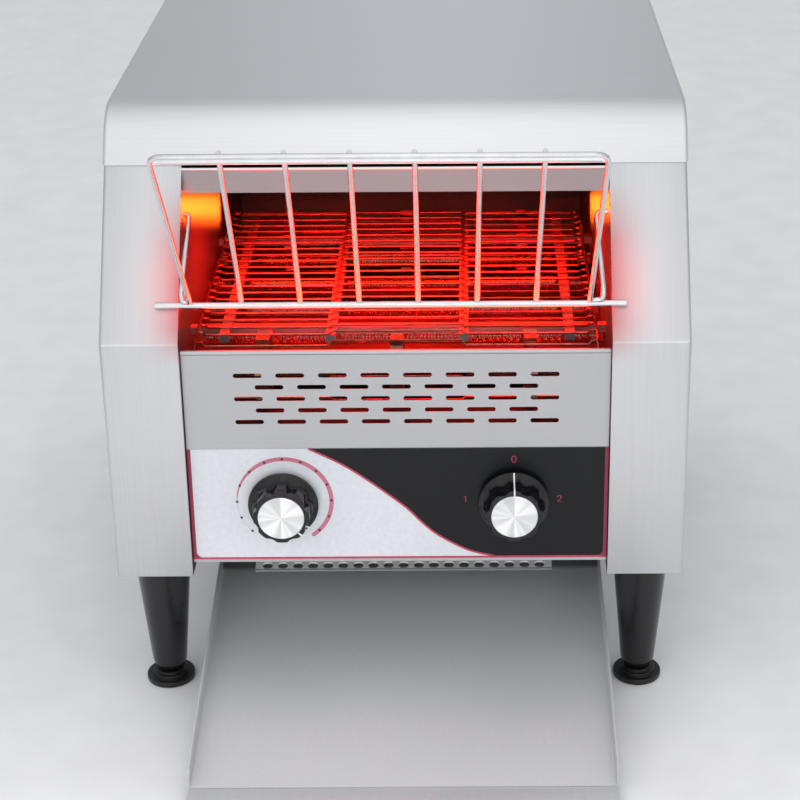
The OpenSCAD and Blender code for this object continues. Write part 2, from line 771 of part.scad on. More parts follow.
module knob_body() difference() {
    face_r = knob_face_d / 2;
    union() {
        cylinder(h = rim_h, r = knob_d / 2);
        translate([0, 0, rim_h]) cylinder(h = cone_h, r1 = knob_d / 2 - 1, r2 = face_r + taper);
        translate([0, 0, rim_h + cone_h])
            cylinder(h = grip_h - rim_h - cone_h, r1 = face_r + taper, r2 = face_r);
    }
    for (i = [0:knob_grooves - 1]) rotate(360 * (i + 0.5) / knob_grooves)
        translate([face_r + groove_r - groove_in, 0, rim_h]) cylinder(h = grip_h, r = groove_r);
    translate([0, 0, -cut]) cylinder(h = skirt_in + cut, r = bush_r + 2);
    cylinder(h = grip_h - 4, r = spindle_d / 2);
    translate([0, 0, grip_h - 1]) cylinder(h = 1 + cut, r = cap_d / 2);
}

module knob_cap() translate([0, 0, grip_h - 1]) difference() {
    cylinder(h = 1.6, r = cap_d / 2);
    translate([0, 0, 1.2]) cylinder(h = cut, r1 = cap_d / 2 - 2, r2 = cap_d / 2);
}

module colour_knob() color("black") on_panel(-knob_x) knob_body();
module colour_knob_cap() color("silver") on_panel(-knob_x) knob_cap();
module mode_knob() color("black") on_panel(knob_x) knob_body();
module mode_knob_cap() color("silver") on_panel(knob_x) knob_cap();

module terminal_block() color("ivory") place()
    block([-outer_x + terminal_in, -wall_x - terminal_in],
        [body_d - terminal_back - terminal_len, body_d - terminal_back],
        [base_z + sheet, base_z + sheet + terminal_h]);

module thermal_cutout() color("black") place() {
    y = chamber_d - cutout_in;
    z = reflector_z - cutout_drop;
    rod_x(-wall_x - cutout_len, -wall_x, y, z, cutout_r);
    block([-wall_x - cutout_tab[0], -wall_x], [y - cutout_tab[1], y + cutout_tab[1]],
        [z - cutout_tab[2], z + cutout_tab[2]]);
}

// ---- Fan ----

module fan_frame() color("black") place() translate([-fan_x, back_y - fan_depth, fan_z]) difference() {
    half = fan_size / 2;
    union() {
        difference() {
            block([-half, half], [0, fan_depth], [-half, half]);
            rod_y(-cut, fan_depth + cut, 0, 0, half - 2);
        }
        rod_y(0.5, 4, 0, 0, fan_hub_r);
        for (a = [45:90:315]) rotate([0, a, 0]) block([fan_hub_r - 4, half + 3], [1, 3.5], [-2, 2]);
    }
    rod_y(1.5, 4 + cut, 0, 0, fan_pin_r + run_fit);
    for (x = [-1, 1], z = [-1, 1]) rod_y(-cut, fan_depth + cut, x * fan_hole, z * fan_hole, screw_d / 2);
}

module fan_rotor() color("black") place() translate([-fan_x, back_y - fan_depth, fan_z]) {
    rod_y(1.5 + end_play, 6, 0, 0, fan_pin_r);
    rod_y(5, fan_depth - 2, 0, 0, fan_hub_r);
    for (i = [0:fan_blades - 1]) rotate([0, 360 * i / fan_blades, 0]) translate([0, fan_depth / 2 + 1.5, 0])
        rotate([35, 0, 0]) block([fan_hub_r - 2, fan_size / 2 - 5], [-9, 9], [-0.8, 0.8]);
}

// ---- Back ----

module cable_gland() color("black") place() difference() {
    union() {
        rod_y(back_y - nut_depth, body_d + gland_out - 3, -gland_x, gland_z, gland_r);
        rod_y(body_d, body_d + 6, -gland_x, gland_z, gland_r + 3);
        rod_y(body_d + 6, body_d + gland_out, -gland_x, gland_z, gland_r + 2);
        translate([-gland_x, back_y - 5, gland_z]) rotate([-90, 0, 0])
            cylinder(h = 5, r = gland_r + 4, $fn = 6);
    }
    rod_y(back_y - nut_depth - cut, body_d + gland_out + cut, -gland_x, gland_z, gland_bore_d / 2);
}

module earth_stud() color("silver") place() {
    rod_y(back_y - nut_depth, body_d + earth_out, gland_x, gland_z, earth_d / 2);
    for (y = [back_y - 4, body_d]) translate([gland_x, y, gland_z]) rotate([-90, 0, 0])
        cylinder(h = 4, r = earth_d, $fn = 6);
}

// ---- Tray ----

module tray() color("silver") place() {
    half = tray_w / 2;
    along_x(-half, half) polygon([
        [-tray_front, tray_low], [-tray_fold, tray_low], [tray_back, tray_z(tray_back)],
        [tray_back, tray_z(tray_back) - tray_sheet], [-tray_fold, tray_low - tray_sheet],
        [-tray_front, tray_low - tray_sheet]]);
    both_sides() {
        along_x(half - tray_sheet, half) polygon([
            [-tray_fold, tray_low], [tray_back, tray_z(tray_back)],
            [tray_back, tray_z(tray_back) + tray_wall], [-tray_fold, tray_low + tray_wall]]);
        block([half - tray_sheet, ear_x], [tray_back - ear_len, tray_back], [ear_z, ear_z + sheet]);
    }
}

module tray_bumpers() color("black") place() both_sides()
    rod_z(0.5, tray_low - tray_sheet, tray_w / 2 - 20, -tray_fold, bumper_r);

module tray_guide() color("silver") place() {
    block([inner_x, guide_x + sheet], [guide_front, tray_back + 8], [base_z - sheet, base_z]);
    block([guide_x, guide_x + sheet], [guide_front, tray_back + 8], [ear_z - seat - sheet, base_z]);
    block([tray_w / 2 + tray_play + seat, guide_x + sheet], [guide_front, tray_back + 8],
        [ear_z - seat - sheet, ear_z - seat]);
}

module tray_guide_left() mirror([1, 0, 0]) tray_guide();
module tray_guide_right() tray_guide();

// ---- Loading rack ----

module loading_rack() color("silver") place() {
    r = rack_wire_d / 2;
    side = rack_w / 2;
    rod_x(-rod_len / 2, rod_len / 2, rod_y, rod_z, rod_r);
    translate([0, rod_y, rod_z]) rotate([90 + rack_lean, 0, 0]) {
        both_sides() {
            rod_y(0, rack_len - rack_r, side, 0, r);
            translate([side - rack_r, rack_len - rack_r, 0])
                rotate_extrude(angle = 90) translate([rack_r, 0]) circle(r = r);
        }
        rod_x(-side + rack_r, side - rack_r, rack_len, 0, r);
        rod_x(-side + rack_r, side - rack_r, rack_len, 2 * r - 0.3, r);
        for (i = [0:rack_bars - 1])
            rod_y(0, rack_len + 3, (i - (rack_bars - 1) / 2) * bar_pitch, 0, r);
    }
    both_sides() {
        wire([side - r, rod_y, rod_z], [side - r, pivot_y, pivot_z], r);
        translate([side - r, pivot_y, pivot_z]) sphere(r = r);
        rod_x(side - r, wall_x + 3, pivot_y, pivot_z, r);
    }
}

// ---- Legs ----

function leg_places() = [leg_in, body_d - leg_in];

module legs() color("black") place() both_sides() for (y = leg_places()) difference() {
    union() {
        translate([leg_x, y, foot_h + seat])
            cylinder(h = base_z - foot_h - seat, r1 = leg_low_d / 2, r2 = leg_top_d / 2);
        rod_z(base_z - cut, base_z + stud_up, leg_x, y, stem_d / 2);
        translate([leg_x, y, base_z + sheet]) cylinder(h = 6, r = stem_d * 0.9, $fn = 6);
    }
    rod_z(0, foot_h + stem_len + end_play, leg_x, y, stem_d / 2 + run_fit);
}

module foot(side, y) color("black") place() {
    translate([side * leg_x, y, 0]) cylinder(h = 2, r1 = foot_d / 2 - 2, r2 = foot_d / 2);
    rod_z(2, foot_rim, side * leg_x, y, foot_d / 2);
    rod_z(2, foot_h, side * leg_x, y, leg_low_d / 2 + 1);
    rod_z(foot_h, foot_h + stem_len, side * leg_x, y, stem_d / 2);
}

module foot_front_left() foot(-1, leg_in);
module foot_front_right() foot(1, leg_in);
module foot_back_left() foot(-1, body_d - leg_in);
module foot_back_right() foot(1, body_d - leg_in);

module cabinet_screws() color("silver") place() {
    for (s = back_screws()) {
        rod_y(back_y - 2 * sheet, body_d, s[0], s[1], screw_d / 2);
        rod_y(body_d, body_d + 2, s[0], s[1], screw_d);
    }
    both_sides() for (y = hood_screws()) {
        rod_x(outer_x - 2, hood_w / 2, y, lip_z + 4, screw_d / 2);
        rod_x(hood_w / 2, hood_w / 2 + 2, y, lip_z + 4, screw_d);
    }
}

top_hood();
side_panel_left();
side_panel_right();
inner_wall_left();
inner_wall_right();
base_plate_left();
base_plate_right();
back_panel();
front_panel();
panel_overlay();
header_plate();
upper_reflector();
lower_reflector();
heat_shield();
control_floor();
return_chute();
exit_slide();
upper_tubes();
lower_tubes();
upper_end_caps();
lower_end_caps();
shaft_bearings();
belt_rails();
conveyor_belt();
front_shaft();
rear_shaft();
front_sprockets();
rear_sprockets();
driven_sprocket();
gear_motor();
motor_bracket();
motor_shaft();
motor_sprocket();
drive_chain();
speed_regulator();
selector_switch();
regulator_spindle();
selector_spindle();
colour_knob();
colour_knob_cap();
mode_knob();
mode_knob_cap();
terminal_block();
thermal_cutout();
fan_frame();
fan_rotor();
cable_gland();
earth_stud();
tray();
tray_bumpers();
tray_guide_left();
tray_guide_right();
loading_rack();
legs();
foot_front_left();
foot_front_right();
foot_back_left();
foot_back_right();
cabinet_screws();
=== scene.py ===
# %% [markdown]
# # A conveyor toaster, dressed in Blender
# The CAD model gives every piece its size and place. This lesson loads it, stands a camera and
# lamps round it, gives each surface its real finish, and models again the pieces whose bends
# and wires need more than plain solids show.

# %% Load the frame
import json
from math import atan2, cos, degrees, hypot, pi, radians, sin, sqrt, tan

import bmesh
import bpy
from mathutils import Matrix, Vector


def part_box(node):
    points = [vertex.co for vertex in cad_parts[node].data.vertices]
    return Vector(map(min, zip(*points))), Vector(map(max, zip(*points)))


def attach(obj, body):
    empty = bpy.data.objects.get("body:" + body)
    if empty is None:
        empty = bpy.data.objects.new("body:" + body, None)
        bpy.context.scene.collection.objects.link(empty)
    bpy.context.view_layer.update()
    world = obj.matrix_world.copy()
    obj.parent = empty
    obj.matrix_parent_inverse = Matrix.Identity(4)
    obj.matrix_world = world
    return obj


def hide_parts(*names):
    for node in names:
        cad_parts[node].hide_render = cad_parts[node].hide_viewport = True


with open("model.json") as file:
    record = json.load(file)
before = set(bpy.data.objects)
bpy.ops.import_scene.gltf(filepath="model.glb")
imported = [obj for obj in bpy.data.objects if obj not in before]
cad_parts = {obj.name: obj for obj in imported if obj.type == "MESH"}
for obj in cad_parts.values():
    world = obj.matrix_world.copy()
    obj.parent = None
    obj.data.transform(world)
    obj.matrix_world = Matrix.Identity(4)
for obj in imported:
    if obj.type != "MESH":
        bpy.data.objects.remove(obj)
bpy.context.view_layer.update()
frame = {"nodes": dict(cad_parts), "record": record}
MM = 0.001
low = {name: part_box(name)[0] / MM for name in frame["nodes"]}
high = {name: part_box(name)[1] / MM for name in frame["nodes"]}
slot_of = {part["node"]: part["material_slot"] for part in frame["record"]["subparts"]}

# %% [markdown]
# ## Camera
# The machine is seen from the front, a little to its right and from above. A long lens keeps
# its sides nearly parallel, and the shift places it in the frame without turning the camera.

# %% Place the camera
scene = bpy.context.scene
IMAGE_PX = 800
EYE = Vector((0.04502, -1.26227, 0.75271))
PITCH = radians(22.70)
ROLL = radians(0.3466)
FOCAL_PX = 1975.18
CENTRE_PX = (468.02, 300.0)

camera_data = bpy.data.cameras.new("camera")
camera_data.sensor_width = 36.0
camera_data.lens = FOCAL_PX / IMAGE_PX * camera_data.sensor_width
camera_data.shift_x = (IMAGE_PX / 2 - CENTRE_PX[0]) / IMAGE_PX
camera_data.shift_y = (CENTRE_PX[1] - IMAGE_PX / 2) / IMAGE_PX
camera = bpy.data.objects.new("camera", camera_data)
camera.matrix_world = (Matrix.Translation(EYE)
                       @ Matrix.Rotation(pi / 2 - PITCH, 4, "X")
                       @ Matrix.Rotation(-ROLL, 4, "Z"))
scene.collection.objects.link(camera)
scene.camera = camera
scene.view_settings.view_transform = "Standard"
print("lens mm:", round(camera_data.lens, 2))

# %% [markdown]
# ## Colours and nodes
# Colours are written as sRGB hex codes, as on a paint chart, and one function turns them to
# the linear values that a renderer works in. Another adds a node with its settings and links,
# so each material below reads as a short recipe. A whole node given as an input stands for its
# first output, and a colour ramp also takes stops. No real surface is perfectly even, so one
# more function lets a colour vary with one pattern and a value with another, or with the same.

# %% Colour and node helpers
def linear(code):
    channels = [int(code[i:i + 2], 16) / 255 for i in (1, 3, 5)]
    return [c / 12.92 if c <= 0.04045 else ((c + 0.055) / 1.055) ** 2.4 for c in channels] + [1.0]


def set_inputs(tree, node, inputs):
    for key, value in inputs.items():
        if isinstance(value, bpy.types.Node):
            value = value.outputs[0]
        if isinstance(value, bpy.types.NodeSocket):
            tree.links.new(value, node.inputs[key])
        else:
            node.inputs[key].default_value = value


def add(tree, kind, settings=None, inputs=None, stops=()):
    node = tree.nodes.new("ShaderNode" + kind)
    for key, value in (settings or {}).items():
        setattr(node, key, value)
    for i, (position, colour) in enumerate(stops):
        node.color_ramp.elements[i].position = position
        node.color_ramp.elements[i].color = colour
    set_inputs(tree, node, inputs or {})
    return node


def new_material(name, **shader_values):
    material = bpy.data.materials.new(name)
    material.use_nodes = True
    tree = material.node_tree
    shader = tree.nodes["Principled BSDF"]
    set_inputs(tree, shader, {key.replace("_", " "): value for key, value in shader_values.items()})
    return material, tree, shader


# Most of a noise pattern lies between these two values
NOISE_LOW, NOISE_HIGH = 0.3, 0.7


def varied(tree, for_colour, for_value, first, last, least, most):
    tone = add(tree, "ValToRGB", inputs={"Fac": for_colour},
               stops=((NOISE_LOW, first), (NOISE_HIGH, last)))
    return tone, add(tree, "MapRange", inputs={"Value": for_value, "To Min": least,
                                               "To Max": most})


print("helpers ready")

# %% [markdown]
# ## Brushed stainless steel
# The cabinet is stainless sheet, ground with a belt so that fine parallel scratches run one
# way. The scratches spread a highlight across their own direction. Here a noise texture is
# squeezed across the grain and stretched along it. It moves the roughness and the height a
# little and the colour hardly at all. Real scratches are about 0.1 mm apart; they are drawn
# 0.5 mm apart, because finer ones wouldn't show. The red glow of the mouth is painted onto the
# pillars: their base colour turns rosy towards it, a painted reflection.

# %% The painted red reflection beside the mouth
# A Mix node has several inputs of one name, so those for colours are asked for by number
FACTOR, FIRST_COLOUR, SECOND_COLOUR, MIXED_COLOUR = 0, 6, 7, 2
# The red of the painted reflection of the glowing mouth
PAINTED_REFLECTION_RED = linear("#FFADAF")
# Axis, where there is no tint and where it is full, in millimetres. X is there twice, so that
# the tint is strong at the edge and fades slowly after that
ROSY_REACH = (("X", 165, 134), ("X", 165, 134), ("Z", 345, 312), ("Z", 245, 268))


# Paints the red reflection of the mouth into the pillars' base colour, near their inner edges
def rosy(tree, place, tone):
    away = add(tree, "VectorMath", {"operation": "ABSOLUTE"}, {0: place})
    parts = add(tree, "SeparateXYZ", inputs={"Vector": away})
    strength = 1.0
    for axis, none, full in ROSY_REACH:
        step = add(tree, "MapRange", inputs={"Value": parts.outputs[axis],
                                             "From Min": none * MM, "From Max": full * MM})
        strength = add(tree, "Math", {"operation": "MULTIPLY"}, {0: strength, 1: step})
    return add(tree, "Mix", {"data_type": "RGBA", "blend_type": "MULTIPLY"},
               {FACTOR: strength, FIRST_COLOUR: tone, SECOND_COLOUR: PAINTED_REFLECTION_RED}).outputs[MIXED_COLOUR]


print("rosy reach, mm:", ROSY_REACH)

# %% [markdown]
# All the steels have one recipe. The cloud in it is a wide faint change of the roughness, as
# wiping leaves on a sheet. A sheet can carry painted shade: it is then dark at one place along Y
# and keeps its own tone at the other, both in millimetres.

# %% Brushed steel
SCRATCH_HEIGHT = 0.5 * MM
DARKER, ROUGHNESS_SPREAD, CLOUD_MM, CLOUD_SHARE, RELIEF = 0.94, 0.08, 1000 / 9, 0.35, 0.04


def brushed_steel(name, grain, colour="#D8D9DB", rough=0.38, scratch_mm=0.5, run_mm=60.0,
                  metallic=1.0, painted_shade=None, shade_tone=0.35, tint=None):
    material, tree, shader = new_material(name, Metallic=metallic)
    across, along = 1000 / scratch_mm, 1000 / run_mm
    scale = [along if axis in grain else across for axis in "XYZ"]
    place = add(tree, "TexCoord").outputs["Object"]
    stretched = add(tree, "Mapping", inputs={"Vector": place, "Scale": scale})
    scratches = add(tree, "TexNoise", inputs={"Vector": stretched, "Scale": 1.0, "Detail": 3.0})
    cloud = add(tree, "TexNoise", inputs={"Vector": place, "Scale": 1000 / CLOUD_MM, "Detail": 2.0})
    grey = linear(colour)
    darker = [c * DARKER for c in grey[:3]] + [1.0]
    both = add(tree, "Mix", inputs={"Factor": CLOUD_SHARE, "A": scratches, "B": cloud})
    tone, dulled = varied(tree, scratches, both, darker, grey, rough - ROUGHNESS_SPREAD,
                          rough + ROUGHNESS_SPREAD)
    # Painted shade: the base colour darkens along Y towards one place
    if painted_shade:
        black, unshaded = painted_shade
        back = add(tree, "SeparateXYZ", inputs={"Vector": place}).outputs["Y"]
        share = add(tree, "MapRange", inputs={"Value": back, "From Min": black * MM,
                                              "From Max": unshaded * MM, "To Min": shade_tone})
        tone = add(tree, "VectorMath", {"operation": "SCALE"}, {"Vector": tone, "Scale": share})
    if tint:
        tone = tint(tree, place, tone)
    relief = add(tree, "Bump", inputs={"Strength": RELIEF, "Distance": SCRATCH_HEIGHT,
                                       "Height": scratches})
    set_inputs(tree, shader, {"Base Color": tone, "Roughness": dulled, "Normal": relief})
    return material


print("scratch height, mm:", round(SCRATCH_HEIGHT / MM, 2))

# %% [markdown]
# Each sheet of the machine has its own grey, its own roughness and its own direction of grain.

# %% The steels
# The hood: the palest sheet, with one soft bright band where it bends
STEEL_ACROSS = brushed_steel("brushed_stainless_across", "X", "#EFF0F1")
# The pillars: upright grain, so that light fades softly up and down, and a painted red reflection
# on the inner edge
STEEL_UPRIGHT = brushed_steel("brushed_stainless_upright", "YZ", tint=rosy)
# The front panel: an even mid grey, and painted shade inside its slots, black as if no light came
# through
PANEL_GREY, PANEL_FACE = "#C3C4C6", low["front_panel"].y
STEEL_PANEL = brushed_steel("brushed_slotted_panel", "X", PANEL_GREY,
                            painted_shade=(PANEL_FACE + 0.3, PANEL_FACE + 0.1), shade_tone=0.06)
# The rolled edge of the panel: the same grey all round
STEEL_FRONT = brushed_steel("brushed_stainless_front", "X", PANEL_GREY)
# The header plate: a warmer and darker grey, painted shade under the hood's lip
STEEL_HEADER = brushed_steel("header_painted_shade", "X", "#A8A4A5")
# The tray: half mirror and half grey, with painted shade on its end under the machine
STEEL_TRAY = brushed_steel("brushed_stainless_tray", "Y", "#CFD0D2", rough=0.50,
                           metallic=0.55, painted_shade=(-53, -57))
# The exit slide: pale and matt, with a painted shadow line along its front edge
SLIDE_EDGE = low["exit_slide"].y
STEEL_SLIDE = brushed_steel("satin_exit_slide", "X", "#E6E7E8", rough=0.50, metallic=0.2,
                            painted_shade=(SLIDE_EDGE + 0.4, SLIDE_EDGE + 1.4))
# The chamber: painted glow, a brown base colour that turns red and orange in the glow lamps
STEEL_CHAMBER = brushed_steel("chamber_painted_glow", "Y", "#6A4C46", rough=0.45,
                              metallic=0.5)
# Brackets and hidden plates: the mottled grey of zinc
STEEL_ZINC = brushed_steel("zinc_coated_sheet", "Y", "#B4B7BA", rough=0.45,
                           scratch_mm=2.0, run_mm=8.0)
print("steels:", [material.name for material in bpy.data.materials])

# %% [markdown]
# ## Other finishes
# Each finish below has one thing that tells the eye what it is. Polished wire has a bright
# narrow highlight, and moulded plastic has a fine grain and a soft one.

# %% Finishes with a small grain
GRAIN_HEIGHT = 0.3 * MM


def grained(name, dark, light, rough, size_mm, depth=0.1, rough_spread=0.06, metallic=0.0,
            **shader_values):
    material, tree, shader = new_material(name, Metallic=metallic, **shader_values)
    place = add(tree, "TexCoord").outputs["Object"]
    grain = add(tree, "TexNoise", inputs={"Vector": place, "Scale": 1000 / size_mm, "Detail": 2.0})
    tone, dulled = varied(tree, grain, grain, linear(dark), linear(light), rough - rough_spread,
                          rough + rough_spread)
    relief = add(tree, "Bump", inputs={"Strength": depth, "Distance": GRAIN_HEIGHT,
                                       "Height": grain})
    set_inputs(tree, shader, {"Base Color": tone, "Roughness": dulled, "Normal": relief})
    return material


print("grain height, mm:", round(GRAIN_HEIGHT / MM, 2))

# %% [markdown]
# Each line gives a name, the darkest and the lightest colour, the roughness, the size of the
# grain in millimetres, the depth of the relief and how far the roughness varies.

# %% The grained finishes
# Metals: chrome has a narrow white highlight, the belt wire's brown base colour is painted glow
# and turns red in the lamps, and the oiled metals are darker with a soft shine
CHROME = grained("bright_chrome_wire", "#DDDEE0", "#E8E9EA", 0.24, 12.0, 0.02, 0.04, metallic=1.0)
BELT_STEEL = grained("belt_wire_painted_glow", "#7C4A40", "#A06A5C", 0.34, 6.0, 0.05, metallic=1.0)
TURNED_STEEL = grained("turned_steel", "#B9BBBE", "#CDCFD1", 0.26, 1.2, 0.05, metallic=1.0)
CHAIN_STEEL = grained("oiled_chain_steel", "#4E4B48", "#6C6865", 0.34, 3.0, 0.05, metallic=1.0)
BRONZE = grained("oiled_bronze", "#9A6F3C", "#B58749", 0.32, 1.5, 0.05, metallic=1.0)
# Plastics and paint: the knobs mirror sharply, the legs softly, and the housings are matt
MOTOR_CASE = grained("painted_motor_case", "#2C2E31", "#383A3E", 0.45, 2.0, 0.12)
HOUSING = grained("moulded_control_housing", "#26302F", "#303B3A", 0.50, 0.9, 0.12)
GLOSS_BLACK = grained("polished_black_plastic", "#08080A", "#101013", 0.14, 4.0, 0.03, 0.04)
SOFT_BLACK = grained("satin_black_leg", "#0C0C0E", "#131315", 0.24, 0.8, 0.05)
# Rubber is nearly without shine, ceramic is cream with a broad shine; the black is painted shade
RUBBER = grained("black_rubber", "#101010", "#181818", 0.42, 1.0, 0.1)
CERAMIC = grained("glazed_ceramic", "#DDD6C6", "#EAE4D6", 0.35, 5.0, 0.05)
SHADE_BLACK = grained("shade_black_sheet", "#0A0908", "#151210", 0.8, 4.0, 0.1)
# Printed film and inks: flat even colours with a faint sheen and no relief
PRINT_WHITE = grained("printed_white_film", "#D0D3D8", "#D7DADF", 0.38, 3.0, 0.0, 0.02)
PRINT_BLACK = grained("printed_black_film", "#0A0D11", "#0F1012", 0.34, 3.0, 0.0, 0.02,
                      Specular_IOR_Level=0.3)
PRINT_DULL_RED = grained("printed_dull_red", "#8A2A44", "#98304C", 0.38, 3.0, 0.0, 0.02)
PRINT_RED = grained("printed_red_ink", "#B23652", "#BE4460", 0.45, 1.5, 0.03)
PRINT_PINK = grained("printed_pink_ink", "#BC6A80", "#C8788C", 0.45, 1.5, 0.03)
PRINT_DARK = grained("printed_dark_ink", "#4A1F2C", "#5A2634", 0.45, 1.5, 0.03)
PRINT_GREY = grained("printed_grey_ink", "#BDB6C0", "#C8C2CB", 0.45, 1.5, 0.03)
LINE_WHITE = grained("white_filled_line", "#F2F2F2", "#FAFAFA", 0.40, 1.0, 0.03)
print("finishes made:", len(bpy.data.materials))

# %% [markdown]
# ## Each CAD node gets its finish
# The record says which slot each node takes its finish from, so the finishes are given out by
# slot. Five plates then get a finish of their own: the two plates at the front, the exit slide,
# and the two under the belt, made black as painted shade.

# %% Give out the finishes
SLOT_FINISH = {
    "brushed_cover": STEEL_ACROSS, "chamber_steel": STEEL_CHAMBER, "inner_steel": STEEL_ZINC,
    "printed_overlay": PRINT_WHITE, "quartz_tube": CERAMIC, "ceramic": CERAMIC, "bronze": BRONZE,
    "belt_wire": BELT_STEEL, "turned_steel": TURNED_STEEL, "sprocket_steel": BELT_STEEL,
    "chain_steel": CHAIN_STEEL, "motor_case": MOTOR_CASE, "control_housing": HOUSING,
    "knob_plastic": GLOSS_BLACK, "knob_cap": TURNED_STEEL, "black_plastic": SOFT_BLACK,
    "rubber_black": RUBBER, "chrome_wire": CHROME,
}


def dress(piece, material):
    piece.data.materials.clear()
    piece.data.materials.append(material)


for node, slot in slot_of.items():
    dress(frame["nodes"][node], SLOT_FINISH[slot])
# The heat shield and the lower reflector are black: painted shade under the belt
for node, finish in (("front_panel", STEEL_PANEL), ("header_plate", STEEL_HEADER),
                     ("exit_slide", STEEL_SLIDE), ("heat_shield", SHADE_BLACK), ("lower_reflector", SHADE_BLACK)):
    dress(frame["nodes"][node], finish)
print("finishes given out:", len(slot_of))

# %% [markdown]
# ## Places and pieces
# Places are written in millimetres, with Y measured back from the front of the pillars. A new
# piece is a mesh with smooth faces and sharp creases. It rides on one body of the machine. Where
# it takes the place of CAD nodes, those are hidden.

# %% Places and pieces
FRONT = low["side_panel_left"].y


def at(x, y, z):
    return Vector((x, y + FRONT, z)) * MM


def as_mesh(name, shape):
    mesh = bpy.data.meshes.new(name)
    shape.to_mesh(mesh)
    shape.free()
    return mesh


def new_piece(name, shape, material, body, *nodes, sharp=35):
    bmesh.ops.recalc_face_normals(shape, faces=shape.faces)
    mesh = as_mesh(name, shape)
    mesh.polygons.foreach_set("use_smooth", [True] * len(mesh.polygons))
    mesh.set_sharp_from_angle(angle=radians(sharp))
    mesh.materials.append(material)
    piece = bpy.data.objects.new(name, mesh)
    scene.collection.objects.link(piece)
    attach(piece, body)
    if nodes:
        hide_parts(*nodes)
    return piece


print("front of the pillars, mm:", round(FRONT, 2))

# %% [markdown]
# ## Folded sheet
# The cabinet is folded from thin sheet. Each shell starts as a side view drawn out across the
# machine. The faces where the sheet is open are taken away, the folds are rounded with a
# bevel, and a Solidify modifier gives the sheet its thickness.

# %% Helpers for folded sheet
LEAN = radians(33.7)
# The height at which the pillars start to lean back
BREAK_Z = 259.0
# A face is square to an axis when its normal has more than this share along it
SQUARE = 0.99


def lean_y(z, out=0.0):
    return (z - BREAK_Z) * tan(LEAN) - out / cos(LEAN)


def drawn_out(profile, x0, x1):
    shape = bmesh.new()
    side = shape.faces.new([shape.verts.new(at(x0, y, z)) for y, z in profile])
    far = bmesh.ops.extrude_face_region(shape, geom=[side])["geom"]
    bmesh.ops.translate(shape, verts=[v for v in far if isinstance(v, bmesh.types.BMVert)],
                        vec=Vector((x1 - x0, 0, 0)) * MM)
    bmesh.ops.recalc_face_normals(shape, faces=shape.faces)
    return shape


def drop_faces(shape, wanted):
    faces = [f for f in shape.faces if wanted(f.normal, f.calc_center_median())]
    bmesh.ops.delete(shape, geom=faces, context="FACES")


def round_edges(shape, wanted, radius, segments=4):
    edges = [e for e in shape.edges
             if len(e.link_faces) == 2 and wanted(*(f.normal for f in e.link_faces))]
    bmesh.ops.bevel(shape, geom=edges, offset=radius * MM, segments=segments, profile=0.5,
                    affect="EDGES", clamp_overlap=True, material=-1)


def thicken(piece, thickness, edge=0.25):
    solid = piece.modifiers.new("thickness", "SOLIDIFY")
    solid.thickness = thickness * MM
    solid.offset = -1
    solid.use_even_offset = True
    soft = piece.modifiers.new("soft_edges", "BEVEL")
    soft.width = edge * MM
    soft.segments = 2
    soft.limit_method = "ANGLE"
    soft.angle_limit = radians(50)


print("pillars lean back, degrees:", round(degrees(LEAN), 1))

# %% [markdown]
# ## Hood
# The hood is one sheet bent over the top of the machine, with a wide soft bend along its front.
# A bevel could make that bend, but here it is drawn as points on an arc. The arc then ends
# exactly where the flat top begins.

# %% Hood
HOOD_BEND, BEND_STEPS = 34.0, 12
HOOD_SHEET, HOOD_CORNER = 1.0, 3.0
top, lip = high["top_hood"].z, low["top_hood"].z
hood_half, hood_back = high["top_hood"].x, high["top_hood"].y - FRONT
turn = pi / 2 - LEAN
bend_y = lean_y(top, HOOD_SHEET) + HOOD_BEND * tan(turn / 2)
profile = [(lean_y(lip, HOOD_SHEET), lip)]
profile += [(bend_y + HOOD_BEND * cos(a), top - HOOD_BEND + HOOD_BEND * sin(a))
            for a in (pi - LEAN - turn * i / BEND_STEPS for i in range(BEND_STEPS + 1))]
profile += [(hood_back, top), (hood_back, lip)]
shape = drawn_out(profile, -hood_half, hood_half)
drop_faces(shape, lambda n, c: n.z < -SQUARE)
round_edges(shape, lambda a, b: abs(a.x) + abs(b.x) > SQUARE and abs(a.x - b.x) > 0.9, HOOD_CORNER)
hood = new_piece("hood", shape, STEEL_ACROSS, "cabinet", "top_hood", sharp=50)
thicken(hood, HOOD_SHEET)
print("hood points:", len(profile))

# %% [markdown]
# ## Side panels
# Each pillar is the front of a side panel. It stands upright at the foot and leans back above.
# Each side has twelve upright slots that let the heat out. The flat side is cut along the edges
# of the slots, and then the faces inside them are taken away. A boolean cut would do the same
# but leaves a less even mesh.

# %% Side panels
SHEET, SIDE_CORNER, FOLD_R = 1.2, 2.5, 1.2
panel_top, base = high["side_panel_left"].z, low["side_panel_left"].z
back = high["side_panel_left"].y - FRONT
outer, inner = high["side_panel_right"].x, low["side_panel_right"].x
panel = [(0, base), (0, BREAK_Z), (lean_y(panel_top), panel_top), (back, panel_top), (back, base)]
SIDE_SLOTS = [240 + 10 * i for i in range(12)]
SIDE_SLOT_W, SIDE_SLOT_LOW, SIDE_SLOT_HIGH = 4, 120, 165


def outer_corner(a, b):
    return max(abs(a.x), abs(b.x)) > SQUARE and min(abs(a.x), abs(b.x)) < 0.1


def front_fold(a, b):
    return max(abs(a.x), abs(b.x)) < 0.01 and a.y < 0 and b.y < 0


def in_a_slot(normal, centre):
    y, z = centre.y / MM - FRONT, centre.z / MM
    return (abs(normal.x) > SQUARE and SIDE_SLOT_LOW < z < SIDE_SLOT_HIGH
            and any(slot < y < slot + SIDE_SLOT_W for slot in SIDE_SLOTS))


